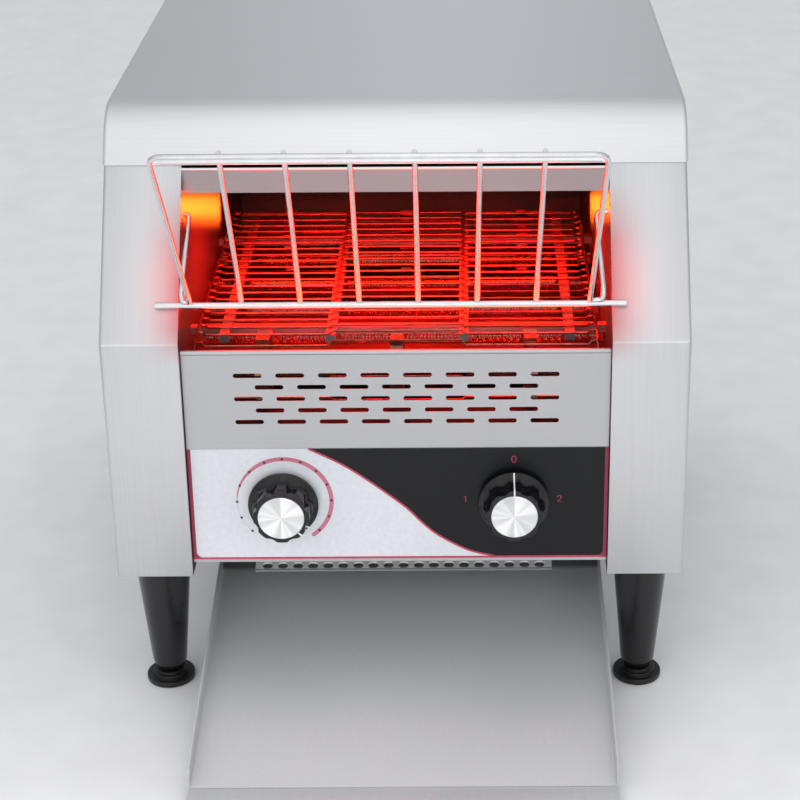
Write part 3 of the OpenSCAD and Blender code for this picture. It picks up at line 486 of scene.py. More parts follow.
for side, name in ((-1, "left"), (1, "right")):
    shape = drawn_out(panel, side * inner, side * outer)
    drop_faces(shape, lambda n, c: abs(n.z) > SQUARE or n.y > SQUARE or n.x * side < -SQUARE)
    round_edges(shape, outer_corner, SIDE_CORNER)
    round_edges(shape, front_fold, FOLD_R, 3)
    cuts = [(at(0, y + d, 0), (0, 1, 0)) for y in SIDE_SLOTS for d in (0, SIDE_SLOT_W)]
    cuts += [(at(0, 0, z), (0, 0, 1)) for z in (SIDE_SLOT_LOW, SIDE_SLOT_HIGH)]
    for point, normal in cuts:
        flat = [f for f in shape.faces if abs(f.normal.x) > SQUARE]
        bmesh.ops.bisect_plane(shape, geom=flat + list({e for f in flat for e in f.edges}),
                               plane_co=point, plane_no=normal)
    drop_faces(shape, in_a_slot)
    piece = new_piece("pillar_" + name, shape, STEEL_UPRIGHT, "cabinet", "side_panel_" + name,
                      sharp=50)
    thicken(piece, SHEET)
print("slots each side:", len(SIDE_SLOTS))

# %% [markdown]
# ## Round wire
# Hems, bars, the belt and the coils are all round wire. A circle is set down square to the path
# at each point and bridged to the one before. Its side direction is carried on from point to
# point, so the wire doesn't twist, and the mesh stays light. A curve object with a round bevel
# would be the other way.

# %% A wire along a path
def wire(shape, path, radius, sides=8):
    side, last = None, None
    for i, point in enumerate(path):
        ahead = (path[min(i + 1, len(path) - 1)] - path[max(i - 1, 0)]).normalized()
        side = ahead.orthogonal() if side is None else side - ahead * side.dot(ahead)
        side.normalize()
        turn = Matrix((side, ahead.cross(side), ahead)).transposed().to_4x4()
        ring = bmesh.ops.create_circle(
            shape, segments=sides, radius=radius * MM, cap_ends=i in (0, len(path) - 1),
            matrix=Matrix.Translation(point) @ turn)["verts"]
        edges = list({edge for vert in ring for edge in vert.link_edges})
        if last:
            bmesh.ops.bridge_loops(shape, edges=last + edges)
        last = edges


print("wire helper ready")

# %% [markdown]
# ## Rolled edges
# The upper edges of the front panel and of the header plate are rolled over into small round
# hems. Each stands a little proud of its plate and catches the light as one bright line.

# %% Rolled hems
HEMS = (("panel_hem", "front_panel", STEEL_FRONT, 1.7),
        ("header_hem", "header_plate", STEEL_ACROSS, 0.9))
# How far the hem's middle lies behind and below the plate's edge, in radii
HEM_BACK, HEM_DROP, HEM_SIDES = 0.4, 0.3, 16
for name, node, finish, radius in HEMS:
    shape = bmesh.new()
    half = high[node].x
    edge_y, edge_z = low[node].y - FRONT + HEM_BACK * radius, high[node].z - HEM_DROP * radius
    wire(shape, [at(-half, edge_y, edge_z), at(half, edge_y, edge_z)], radius, HEM_SIDES)
    new_piece(name, shape, finish, "cabinet")
print("hems:", len(HEMS))

# %% [markdown]
# ## Printed overlay
# The overlay is a white film. A black field covers its right side and a red line follows the
# curved edge between them. A red border runs down both sides, where it is darker, and along the
# foot. Each ink is a flat shape 0.06 mm in front of the one below, so it stays sharp.

# %% Ink helpers
INK = 0.06
face_y = low["panel_overlay"].y - FRONT
film_low, film_high = low["panel_overlay"].z, high["panel_overlay"].z
film_half = high["panel_overlay"].x


def smooth_line(points, steps=6):
    ends = [points[0]] + points + [points[-1]]
    line = []
    for a, b, c, d in zip(ends, ends[1:], ends[2:], ends[3:]):
        for k in range(steps):
            t = k / steps
            line.append(tuple(0.5 * (2 * q + (r - p) * t + (2 * p - 5 * q + 4 * r - s) * t ** 2
                                     + (3 * q - p - 3 * r + s) * t ** 3)
                              for p, q, r, s in zip(a, b, c, d)))
    return line + [points[-1]]


def ink_vert(shape, x, z, layer):
    return shape.verts.new(at(x, face_y - layer * INK, z))


def join_rows(shape, rows):
    return [shape.faces.new((a, b, d, c)) for (a, b), (c, d) in zip(rows, rows[1:])]


def ribbon(shape, line, widths, layer):
    rows = []
    for i, (x, z) in enumerate(line):
        ahead = Vector(line[min(i + 1, len(line) - 1)]) - Vector(line[max(i - 1, 0)])
        side = Vector((-ahead.y, ahead.x)).normalized() * widths[i] / 2
        rows.append([ink_vert(shape, x + s * side.x, z + s * side.y, layer) for s in (-1, 1)])
    join_rows(shape, rows)


print("film, mm:", round(2 * film_half, 1), "by", round(film_high - film_low, 1))

# %% [markdown]
# The black field reaches from the curve to the film's right side, and over its upper edge.

# %% Black field
CURVE = [(-56.5, film_high), (-31, 170.4), (1.5, 145), (14, 132), (25, 122), (44, 111),
         (61, film_low + 1.4)]
curve = smooth_line(CURVE)
film_depth = high["panel_overlay"].y - low["panel_overlay"].y
shape = bmesh.new()
join_rows(shape, [[ink_vert(shape, x_end, z, 1) for x_end in (x, film_half)] for x, z in curve])
over_the_edge = [(CURVE[0][0], -INK), (film_half, -INK), (film_half, film_depth),
                 (CURVE[0][0], film_depth)]
shape.faces.new([shape.verts.new(at(x, face_y + y, film_high + INK)) for x, y in over_the_edge])
new_piece("print_black", shape, PRINT_BLACK, "cabinet")
print("points on the curve:", len(curve))

# %% [markdown]
# The border fills the space between the film's square outline and a line with rounded corners.
# The two are walked side by side, and each pair of points makes one step of the border.

# %% Red line and border
LINE_W, SIDE_BORDER, LOW_BORDER, CORNER_R, CORNER_STEPS = 1.3, 2.2, 1.5, 4.0, 8
line_x, line_z = film_half - SIDE_BORDER, film_low + LOW_BORDER
quarter = [pi / 2 * k / CORNER_STEPS for k in range(CORNER_STEPS + 1)]
shape = bmesh.new()
ribbon(shape, curve, [LINE_W] * len(curve), 2)
inner, outer = [(-line_x, film_high)], [(-film_half, film_high)]
for sign in (-1, 1):
    arc = [(sign * (line_x - CORNER_R) + sign * CORNER_R * cos(a),
            line_z + CORNER_R - CORNER_R * sin(a)) for a in quarter]
    square = [(sign * film_half, arc[0][1])]
    square += [(sign * film_half, film_low)] * (len(arc) - 2)
    square += [(arc[-1][0], film_low)]
    inner += arc[::-sign]
    outer += square[::-sign]
inner, outer = inner + [(line_x, film_high)], outer + [(film_half, film_high)]
rows = [[ink_vert(shape, x, z, 2) for x, z in pair] for pair in zip(inner, outer)]
# Where the outline runs straight down, the face takes the second, darker red
for face, ((_, above), (_, below)) in zip(join_rows(shape, rows), zip(rows, rows[1:])):
    face.material_index = int(above.co.x == below.co.x)
new_piece("print_red", shape, PRINT_RED, "cabinet").data.materials.append(PRINT_DULL_RED)
print("border points:", len(outer))

# %% [markdown]
# The scale is an arc that grows clockwise, from a thin grey line to a thick pink band with a
# round end, and thirteen dark dots lie on it.

# %% Browning scale
KNOB_X, KNOB_Z = high["colour_knob"].x - 22.5, (low["colour_knob"].z + high["colour_knob"].z) / 2
ARC_X, ARC_Z, ARC_R, ARC_W = KNOB_X + 0.3, KNOB_Z + 0.2, 30.2, 2.8
ARC_START, ARC_RED, ARC_END = -140, -85, 144
ARC_STEPS, THIN, GROWS_FROM, GROWS_OVER = 90, 0.12, -100, 75


def on_arc(angle):
    a = radians(angle)
    return ARC_X + ARC_R * sin(a), ARC_Z + ARC_R * cos(a)


def arc_width(angle):
    past = radians(max(0.0, angle - ARC_END)) * ARC_R
    grown = ARC_W * min(1.0, max(THIN, (angle - GROWS_FROM) / GROWS_OVER))
    return grown * sqrt(max(0.0, 1 - (2 * past / ARC_W) ** 2))


round_end = ARC_END + degrees(ARC_W / 2 / ARC_R)
for name, start, end, ink in (("print_pink", ARC_RED, round_end, PRINT_PINK),
                              ("print_grey", ARC_START, ARC_RED, PRINT_GREY)):
    shape = bmesh.new()
    turns = [start + (end - start) * k / ARC_STEPS for k in range(ARC_STEPS + 1)]
    ribbon(shape, [on_arc(t) for t in turns], [arc_width(t) for t in turns], 1)
    new_piece(name, shape, ink, "cabinet")

DOTS = [-135 + 22.4 * i for i in range(13)]
DOT_R, DOT_LAYER = 0.85, 3
shape = bmesh.new()
for dot in DOTS:
    x, z = on_arc(dot)
    bmesh.ops.create_circle(shape, segments=20, radius=DOT_R * MM, cap_ends=True,
                            matrix=Matrix.Translation(at(x, face_y - DOT_LAYER * INK, z))
                            @ Matrix.Rotation(pi / 2, 4, "X"))
new_piece("print_dots", shape, PRINT_DARK, "cabinet")
print("arc dots:", len(DOTS))

# %% [markdown]
# The selector has three places. Plain numbers stand at them: 0 at the top, 1 at the left and
# 2 at the right, each drawn as one thin stroke.

# %% Numbers
SELECT_X = -KNOB_X
NUMBER_H, NUMBER_W, STROKE = 4.4, 2.8, 0.7
RING_STEPS = 24
turns = [2 * pi * k / RING_STEPS for k in range(RING_STEPS + 1)]
ZERO = [(0.5 + 0.5 * cos(a), 0.5 + 0.5 * sin(a)) for a in turns]
ONE = [(0.2, 0.75), (0.6, 1.0), (0.6, 0.0)]
TWO = [(0.03, 0.72), (0.12, 0.9), (0.35, 1.0), (0.65, 1.0), (0.9, 0.88), (0.97, 0.7), (0.85, 0.5),
       (0.03, 0.0), (1.0, 0.0)]
NUMBERS = ((ZERO, SELECT_X, KNOB_Z + 29.5), (ONE, SELECT_X - 31, KNOB_Z + 1),
           (TWO, SELECT_X + 29, KNOB_Z + 1))
shape = bmesh.new()
for strokes, x, z in NUMBERS:
    line = [(x + (u - 0.5) * NUMBER_W, z + (v - 0.5) * NUMBER_H) for u, v in strokes]
    ribbon(shape, line, [STROKE] * len(line), 2)
new_piece("print_numbers", shape, PRINT_DULL_RED, "cabinet")
print("numbers drawn:", len(NUMBERS))

# %% [markdown]
# ## Turned pieces
# Knobs, tubes, legs and feet are round, so each is one profile spun round its axis. The profile
# lists places along the axis and radii, both in millimetres.

# %% A profile spun round an axis
def turned(shape, profile, place, axis, sides):
    along = Vector(axis)
    out = along.orthogonal().normalized()
    verts = [shape.verts.new(place + along * a * MM + out * r * MM) for a, r in profile]
    edges = [shape.edges.new(pair) for pair in zip(verts, verts[1:])]
    bmesh.ops.spin(shape, geom=verts + edges, cent=place, axis=along, angle=2 * pi,
                   steps=sides, use_merge=True)
    bmesh.ops.remove_doubles(shape, verts=shape.verts, dist=1e-6)


print("turning helper ready")

# %% [markdown]
# ## Knobs
# The cap of a knob is spun aluminium. Its UV runs round it, so that its fine turning marks
# spread the light into a fan of bright wedges; a painted highlight in its colour adds more.

# %% Spun aluminium
# Turning marks 0.16 mm apart make about 90 from the middle to the rim
MARKS, WEDGES = 90.0, 9.0
CAP_METAL, tree, shader = new_material("spun_aluminium", Metallic=0.7, Anisotropic=0.85)
uv = add(tree, "UVMap", {"uv_map": "turning"})
stretched = add(tree, "Mapping", inputs={"Vector": uv, "Scale": (3.0, MARKS, 1.0)})
rings = add(tree, "TexNoise", inputs={"Vector": stretched, "Scale": 1.0})
round_it = add(tree, "SeparateXYZ", inputs={"Vector": uv})
# Painted highlight: a noise round the cap turns its base colour grey or white in wedges
wedges = add(tree, "TexNoise", {"noise_dimensions": "1D"}, {"W": round_it, "Scale": WEDGES})
shine = add(tree, "ValToRGB", inputs={"Fac": wedges},
            stops=((0.42, linear("#D8DADC")), (0.58, linear("#FFFFFF"))))
dulled = add(tree, "MapRange", inputs={"Value": rings, "To Min": 0.26, "To Max": 0.32})
tangent = add(tree, "Tangent", {"direction_type": "UV_MAP", "uv_map": "turning"})
set_inputs(tree, shader, {"Base Color": shine, "Roughness": dulled, "Tangent": tangent})
print("cap finish:", CAP_METAL.name)

# %% [markdown]
# The profile runs from the skirt over a hollow cone to the grip. The vertices in each finger
# groove are then drawn in towards the axis, which keeps the rest of the turned shape as it is.

# %% Grip
knob_back = high["colour_knob"].y - FRONT
GRIP = knob_back - (low["colour_knob"].y - FRONT)
SKIRT_R, FACE_R, CAP_R = 22.5, 17.8, 14.6
LOBES, GROOVE_R, GROOVE_IN, GROOVE_DEEPEST = 8, 6.0, 1.5, 2.4
# Above the skirt the grooves start, and they are at full depth a little higher
GROOVE_FROM, GROOVE_RUN = 3.2, 5
KNOB_PROFILE = [(1.0, 8.0), (0.0, 20.5), (0.15, 21.8), (0.7, 22.4), (1.5, SKIRT_R), (2.4, 22.4),
                (2.9, 21.9), (3.3, 21.0), (4.2, 19.9), (5.4, 19.0), (7.0, 18.3), (9.0, 18.0),
                (12.0, 17.95), (GRIP - 1.2, 17.9), (GRIP - 0.5, FACE_R), (GRIP - 0.1, 17.4),
                (GRIP, 16.9), (GRIP, CAP_R + 0.2), (GRIP - 0.9, CAP_R), (GRIP - 1.0, 0.0)]


def grooved(radius, angle, along):
    if along < GROOVE_FROM or radius < CAP_R + 0.5:
        return radius
    step = 2 * pi / LOBES
    off = (angle / step) % 1 - 0.5
    reach = FACE_R + GROOVE_R - GROOVE_IN
    across = reach * sin(off * step)
    if abs(across) >= GROOVE_R:
        return radius
    wall = reach * cos(off * step) - sqrt(GROOVE_R ** 2 - across ** 2)
    depth = max(0.0, radius - wall) * min(1.0, (along - GROOVE_FROM) / GROOVE_RUN)
    return radius - min(depth, GROOVE_DEEPEST)


def grip(centre):
    shape = bmesh.new()
    turned(shape, KNOB_PROFILE, centre, (0, -1, 0), 128)
    for vert in shape.verts:
        reach = Vector((vert.co.x - centre.x, vert.co.z - centre.z))
        if reach.length > 1e-6:
            along = (centre.y - vert.co.y) / MM
            radius = grooved(reach.length / MM, atan2(reach.x, reach.y), along)
            reach *= radius * MM / reach.length
            vert.co.x, vert.co.z = centre.x + reach.x, centre.z + reach.y
    return shape


print("grooves in a grip:", LOBES)

# %% [markdown]
# The cap has a thin raised rim. Its UV gives the way round in U and the way out in V.

# %% Cap
CAP_PROFILE = [(GRIP - 1, CAP_R), (GRIP + 0.3, CAP_R), (GRIP + 0.55, CAP_R - 0.3),
               (GRIP + 0.6, CAP_R - 0.8), (GRIP + 0.25, CAP_R - 1.8), (GRIP + 0.2, 9.0),
               (GRIP + 0.2, 4.0), (GRIP + 0.2, 0.3)]
MIDDLE_R = 0.5


def cap(centre):
    shape = bmesh.new()
    turned(shape, CAP_PROFILE, centre, (0, -1, 0), 96)
    shape.faces.new([v for v in shape.verts if (v.co.xz - centre.xz).length < MIDDLE_R * MM])
    turning = shape.loops.layers.uv.new("turning")
    for face in shape.faces:
        middle = face.calc_center_median() - centre
        for loop in face.loops:
            out = loop.vert.co - centre
            swing = Vector((middle.z, middle.x)).angle_signed(Vector((out.z, out.x)), 0)
            loop[turning].uv = ((atan2(middle.x, middle.z) + swing) / (2 * pi),
                                hypot(out.x, out.z) / MM / CAP_R)
    return shape


print("cap radius, mm:", CAP_R)

# %% [markdown]
# A white line is pressed into one lobe of each grip and shows where the knob points. It is a
# thin wire laid half into the surface.

# %% Two knobs
POINTER = [(2.4, 22.3), (3.3, 21.1), (4.2, 20.0), (5.4, 19.0), (7.0, 18.4), (9.0, 18.1),
           (12.0, 18.05), (GRIP - 1.2, 18.0), (GRIP - 0.3, 17.7), (GRIP + 0.02, 16.9),
           (GRIP + 0.02, CAP_R + 0.3)]
POINTER_R = 0.5
# Name, place across, the way the pointer turns from upright, and body
KNOBS = (("colour", KNOB_X, 135, "colour_control"), ("mode", SELECT_X, 0, "mode_control"))
for name, x, pointer, body in KNOBS:
    centre = at(x, knob_back, KNOB_Z)
    new_piece(name + "_grip", grip(centre), GLOSS_BLACK, body, name + "_knob")
    a = radians(pointer)
    path = [centre + Vector((r * sin(a), -h, r * cos(a))) * MM for h, r in POINTER]
    shape = bmesh.new()
    wire(shape, path, POINTER_R)
    new_piece(name + "_pointer", shape, LINE_WHITE, body)
    new_piece(name + "_cap", cap(centre), CAP_METAL, body, name + "_knob_cap")
print("knob height, mm:", round(GRIP, 2))

# %% [markdown]
# ## Bent wire
# Real wire is bent round a former, so no bend is sharp. Each corner of a path is replaced by a
# short curve, which never takes more than half of the straight pieces beside it.

# %% Rounded corners
NEARLY_HALF = 0.49


def rounded(points, radius, steps=5):
    path = [points[0]]
    for before, corner, after in zip(points, points[1:], points[2:]):
        into, out = corner - before, after - corner
        bend = into.angle(out)
        reach = min(radius * MM * tan(bend / 2), NEARLY_HALF * into.length,
                    NEARLY_HALF * out.length)
        start, end = corner - into.normalized() * reach, corner + out.normalized() * reach
        path += [start.lerp(corner, k / steps).lerp(corner.lerp(end, k / steps), k / steps)
                 for k in range(steps + 1)]
    return path + [points[-1]]


print("corners can be rounded")

# %% [markdown]
# ## Loading rack
# The rack is bright wire. Two side wires carry a double rod across their top, and six bars run
# down to a rod that rests on the leaning pillars. Each side wire turns back above the rod and
# runs up to a hook that sits in a hole in the chamber wall. The rack hangs loosely, so it
# stands a little to the left and leans a little over.

# %% The rack's measures
WIRE_R, WIRE_SIDES, ROD_R = 1.6, 12, 2.0
RACK_HALF, RACK_LEN, RACK_LEAN = 128.0, 148.2, radians(34.2)
ROD_HALF, ROD_Z = 145.0, 281.4
ROD_Y = (low["loading_rack"].y - FRONT) + 148.5 * sin(RACK_LEAN) + 1.4
BAR_PITCH, BARS = 36.3, 6
PIVOT_X, PIVOT_Y, PIVOT_Z = 137.5, 56.0, 324.0
# How far to the left each part of the loosely hanging rack stands
ROD_SWAY, TOP_SWAY, BAR_SWAY, FOOT_SWAY = -2.6, -4.1, -2.3, -3.8
# Where each side wire stands: its foot, its turn back and its hook
SIDE_WIRES = ((-1, -126.1, -130.5, -130.0), (1, 120.1, 128.0, 126.0))
FOOT_UP, BACK_UP, TOP_OUT = 3.4, 10, -1.8


def on_rack(x, up, out=0.0):
    return at(x, ROD_Y - up * sin(RACK_LEAN) - out * cos(RACK_LEAN),
              ROD_Z + up * cos(RACK_LEAN) - out * sin(RACK_LEAN))


print("rod place, mm:", round(ROD_Y, 2), ROD_Z)

# %% [markdown]
# All its wires are swept into one mesh, because the real wires are welded to each other.

# %% Rack wires
left_x, right_x = TOP_SWAY - RACK_HALF, TOP_SWAY + RACK_HALF
left_foot, right_foot = (on_rack(foot_x, FOOT_UP) for _, foot_x, _, _ in SIDE_WIRES)
shape = bmesh.new()
wire(shape, [at(ROD_SWAY + side * ROD_HALF, ROD_Y, ROD_Z) for side in (-1, 1)], ROD_R, 16)
wire(shape, rounded([left_foot, on_rack(left_x, RACK_LEN, TOP_OUT),
                     on_rack(right_x, RACK_LEN, TOP_OUT), right_foot], 8), WIRE_R, WIRE_SIDES)
wire(shape, [on_rack(left_x + 4, RACK_LEN - 2), on_rack(right_x - 4, RACK_LEN - 2)], WIRE_R,
     WIRE_SIDES)
for i in range(BARS):
    x = (i - (BARS - 1) / 2) * BAR_PITCH
    bar = [on_rack(x + FOOT_SWAY, 0.8, -1.4), on_rack(x + BAR_SWAY, RACK_LEN - 12, -3.4),
           on_rack(x + BAR_SWAY, RACK_LEN + 0.1, -4.8)]
    wire(shape, rounded(bar, 20), WIRE_R, WIRE_SIDES)
for side, foot_x, back_x, hook_x in SIDE_WIRES:
    path = [on_rack(foot_x, 9, 0.2), on_rack(foot_x, FOOT_UP), on_rack(back_x, FOOT_UP, -0.4),
            on_rack(back_x, BACK_UP, -2.6), at(hook_x, PIVOT_Y, PIVOT_Z),
            at(side * PIVOT_X, PIVOT_Y, PIVOT_Z)]
    wire(shape, rounded(path, 4), WIRE_R, WIRE_SIDES)
new_piece("rack_wires", shape, CHROME, "rack", "loading_rack", sharp=60)
print("rack bars:", BARS)

# %% [markdown]
# ## Conveyor belt
# The belt is made of bent wires that hook into each other. Each wire runs straight across with
# a small step at two places, and its ends turn forward in a loop that holds the next wire. One
# wire is modelled and then set down once for each place round the loop.

# %% Places round the loop
PITCH_MM, BELT_RUNS, TEETH = 11.5, 19, 12
BELT_R = PITCH_MM / 2 / sin(pi / TEETH)
BELT_TOP = 252.0
SHAFT_Y, SHAFT_Z = 31.0, BELT_TOP - BELT_R
SHAFT_DEPTH = BELT_RUNS * PITCH_MM
places = [(i * PITCH_MM, BELT_R, 0.0) for i in range(BELT_RUNS)]
places += [(SHAFT_DEPTH + BELT_R * sin(a), BELT_R * cos(a), -a - pi / TEETH)
           for a in (i * 2 * pi / TEETH for i in range(TEETH // 2))]
# The way back is the same, turned half round
places += [(SHAFT_DEPTH - y, -z, a + pi) for y, z, a in places]
print("places round the loop:", len(places))

# %% [markdown]
# Only the right half of a wire is written down, and the left half mirrors it. The copies are
# joined into one piece, as the belt is one.

# %% Belt wires
COLUMN = high["conveyor_belt"].x - 1
STRAND_R = 0.85


def strand_path():
    step, neck = 3.4, COLUMN - 5.6
    half = [(COLUMN / 3 - 1.2, -step, 0), (COLUMN / 3 + 1.2, 0, 0), (neck, 0, 0),
            (neck + 1.2, -2.4, 0.3), (COLUMN - 1.2, -2.4, 0.6), (COLUMN, 0, 0.9),
            (COLUMN, 8.2, 0.9), (COLUMN - 2.4, 10.4, 0.6), (COLUMN - 4.6, 9.0, 0.2)]
    path = [(-x, y, z) for x, y, z in reversed(half)] + half
    return rounded([Vector((x, PITCH_MM - y, z)) * MM for x, y, z in path], 1.6, 3)


def one_wire(path, radius, sides):
    shape = bmesh.new()
    wire(shape, path, radius, sides)
    return as_mesh("one_wire", shape)


def many(shape, mesh, places):
    for place in places:
        start = len(shape.verts)
        shape.from_mesh(mesh)
        shape.verts.ensure_lookup_table()
        bmesh.ops.transform(shape, matrix=place, verts=shape.verts[start:])


strand = one_wire(strand_path(), STRAND_R, 6)
shape = bmesh.new()
many(shape, strand, [Matrix.Translation(at(0, SHAFT_Y + y, SHAFT_Z + z))
                     @ Matrix.Rotation(a, 4, "X") for y, z, a in places])
bpy.data.meshes.remove(strand)
new_piece("belt_wires", shape, BELT_STEEL, "cabinet", "conveyor_belt", sharp=60)
print("belt width, mm:", round(2 * (COLUMN + 1), 1))

# %% [markdown]
# ## Heating tubes
# Inside each quartz tube is a coil of hot wire. The upper coils glow orange-red. The lower ones
# are only dull red, as little of their light reaches the eye through the belt. The clear tube
# round a coil shows as a faint shine.

# %% Glowing wire and clear quartz
def hot_finish(name, size_mm, first, last, least, most, inputs, **shader_values):
    material, tree, shader = new_material(name, **shader_values)
    place = add(tree, "TexCoord").outputs["Object"]
    patch = add(tree, "TexNoise", inputs={"Vector": place, "Scale": 1000 / size_mm, "Detail": 1.0})
    tone, value = varied(tree, patch, patch, linear(first), linear(last), least, most)
    set_inputs(tree, shader, dict(zip(inputs, (tone, value))))
    return material


GLOW, WIRE = ("Emission Color", "Emission Strength"), {"Base_Color": linear("#3A1A10"),
                                                       "Roughness": 0.6}
COIL = hot_finish("glowing_coil", 100 / 3, "#FF2206", "#FF3A10", 2.4, 3.6, GLOW, **WIRE)
DIM_COIL = hot_finish("dull_red_coil", 100 / 3, "#8A0C02", "#C01404", 0.24, 0.36, GLOW, **WIRE)
QUARTZ = hot_finish("clear_quartz", 50 / 3, "#F4E6DC", "#FFFFFF", 0.02, 0.12,
                    ("Base Color", "Roughness"), Transmission_Weight=1.0)
print("coil finishes:", COIL.name, DIM_COIL.name)

# %% [markdown]
# A coil is a wire along a helix, with eight points to each turn. Four tubes hang over the belt
# and four lie between its two runs.

# %% Tubes and coils
COIL_R, COIL_PITCH, COIL_STEPS, COIL_HALF, COIL_WIRE_R = 3.0, 4.5, 8, 126.0, 0.55
TUBE_IN, TUBE_OUT = 4.0, 5.0
turns = 2 * COIL_HALF / COIL_PITCH
helix = []
for k in range(int(turns * COIL_STEPS) + 1):
    a = 2 * pi * k / COIL_STEPS
    helix.append(Vector((-COIL_HALF + COIL_PITCH * k / COIL_STEPS, COIL_R * cos(a),
                         COIL_R * sin(a))) * MM)
coil = one_wire(helix, COIL_WIRE_R, 4)
tube_half = high["upper_tubes"].x
tube_profile = [(-tube_half, TUBE_IN), (-tube_half, TUBE_OUT), (tube_half, TUBE_OUT),
                (tube_half, TUBE_IN), (-tube_half, TUBE_IN)]
for bank, first, pitch, heat in (("upper", 88, 56, COIL), ("lower", 73, 45, DIM_COIL)):
    z = (low[bank + "_tubes"].z + high[bank + "_tubes"].z) / 2
    rows = [at(0, first + pitch * i, z) for i in range(4)]
    shape = bmesh.new()
    many(shape, coil, [Matrix.Translation(row) for row in rows])
    new_piece(bank + "_coils", shape, heat, "cabinet", sharp=60)
    shape = bmesh.new()
    for row in rows:
        turned(shape, tube_profile, row, (1, 0, 0), 24)
    new_piece(bank + "_quartz", shape, QUARTZ, "cabinet", bank + "_tubes")
bpy.data.meshes.remove(coil)
print("coil turns in each tube:", round(turns))

# %% [markdown]
# ## Tray
# The tray is one folded sheet. Its cross-section has a rounded fold and a hem along the top of
# each side wall. It is drawn from the fold at the front to the back edge, which lies higher.
# The tray has play between its guides and stands a little to the right.

# %% Tray sheet
TRAY_SHIFT = 3.5
TRAY_HALF, TRAY_WALL, TRAY_SHEET = 132.5, 15.5, 1.0
TRAY_FOLD, TRAY_FRONT, TRAY_BACK = -105.0, -130.0, 250.0
TRAY_LOW, LIP_FOOT = 6.5, 3.0
TRAY_RISE = tan(radians(10.28))
side_wall = [(TRAY_HALF - 1.5, 10.5), (TRAY_HALF - 1.5, TRAY_WALL - 0.7),
             (TRAY_HALF - 1.0, TRAY_WALL - 0.1), (TRAY_HALF - 0.4, TRAY_WALL - 0.1),
             (TRAY_HALF, TRAY_WALL - 0.7), (TRAY_HALF, 2.5), (TRAY_HALF - 0.4, 1.0),
             (TRAY_HALF - 1.2, 0.25), (TRAY_HALF - 2.5, 0.0)]
section = [(-x, z) for x, z in side_wall] + side_wall[::-1]
shape = bmesh.new()


def tray_height(y):
    return TRAY_LOW + (y - TRAY_FOLD) * TRAY_RISE


def tray_vert(x, y, z):
    return shape.verts.new(at(x + TRAY_SHIFT, y, z))


rows = [[tray_vert(x, y, tray_height(y) + z) for x, z in section] for y in (TRAY_FOLD, TRAY_BACK)]
edges = [shape.edges.new(pair) for row in rows for pair in zip(row, row[1:])]
bmesh.ops.bridge_loops(shape, edges=edges)
LIP = ((TRAY_FOLD, TRAY_LOW), (TRAY_FOLD - 0.5, TRAY_LOW - 0.05), (TRAY_FRONT + 1.2, TRAY_LOW),
       (TRAY_FRONT + 0.3, TRAY_LOW - 0.4), (TRAY_FRONT, TRAY_LOW - 1.2), (TRAY_FRONT, LIP_FOOT))
join_rows(shape, [[tray_vert(x, y, z) for x in (-TRAY_HALF, TRAY_HALF)] for y, z in LIP])
# An ear on each side rides on the guide and stops the tray from falling out
EAR_LEN, EAR_X, EAR_UP = 14.0, high["tray"].x, 4
for side in (-1, 1):
    z = tray_height(TRAY_BACK - EAR_LEN) + EAR_UP
    corners = [(side * TRAY_HALF, TRAY_BACK - EAR_LEN), (side * EAR_X, TRAY_BACK - EAR_LEN),
               (side * EAR_X, TRAY_BACK), (side * TRAY_HALF, TRAY_BACK)]
    shape.faces.new([tray_vert(x, y, z + SHEET) for x, y in corners])
tray = new_piece("tray_sheet", shape, STEEL_TRAY, "tray_body", "tray", sharp=40)
thicken(tray, TRAY_SHEET, 0.2)
print("tray width, mm:", 2 * TRAY_HALF)

# %% [markdown]
# ## Legs and feet
# Each leg is one turned cone with a rounded lower end, and each foot a low disc with a step.

# %% Turned legs and feet
LEG_X = (high["foot_front_right"].x + low["foot_front_right"].x) / 2
LEG_FRONT, LEG_BACK, LEG_SIDES = 30.0, 388.0, 56
LEG_PROFILE = [(8.3, 0.0), (8.3, 7.6), (8.8, 8.4), (10.5, 9.6), (12.5, 10.6), (15.0, 11.3),
               (92.5, 18.2), (94.0, 18.5), (94.9, 18.3), (94.9, 0.0)]
shape = bmesh.new()
for side in (-1, 1):
    for y in (LEG_FRONT, LEG_BACK):
        turned(shape, LEG_PROFILE, at(side * LEG_X, y, 0), (0, 0, 1), LEG_SIDES)
new_piece("turned_legs", shape, SOFT_BLACK, "cabinet", "legs")
FOOT_PROFILE = [(0.0, 0.0), (0.0, 15.2), (0.4, 15.8), (0.9, 16.0), (3.4, 16.0), (3.8, 15.8),
                (4.0, 15.4), (4.0, 12.4), (4.2, 12.1), (5.6, 12.0), (6.0, 11.7), (6.1, 11.3),
                (6.1, 9.4), (6.3, 9.2), (7.8, 9.0), (7.9, 4.0), (8.3, 4.0)]
for end, y in (("front", LEG_FRONT), ("back", LEG_BACK)):
    for hand, side in (("left", -1), ("right", 1)):
        shape = bmesh.new()
        turned(shape, FOOT_PROFILE, at(side * LEG_X, y, 0), (0, 0, 1), LEG_SIDES)
        new_piece(f"pad_{end}_{hand}", shape, RUBBER, "foot_" + end[0] + hand[0],
                  f"foot_{end}_{hand}", sharp=25)
print("leg place across, mm:", round(LEG_X, 1))

# %% [markdown]
# ## Floor
# The machine stands on a pale floor that is much wider than the view.

# %% Floor
FLOOR_HALF = 6.0
shape = bmesh.new()
bmesh.ops.create_grid(shape, x_segments=1, y_segments=1, size=FLOOR_HALF)
floor = bpy.data.objects.new("floor", as_mesh("floor", shape))
scene.collection.objects.link(floor)
dress(floor, grained("pale_floor", "#DEDEDF", "#E4E4E5", 0.6, 40.0, 0.0))
print("floor width, m:", 2 * FLOOR_HALF)

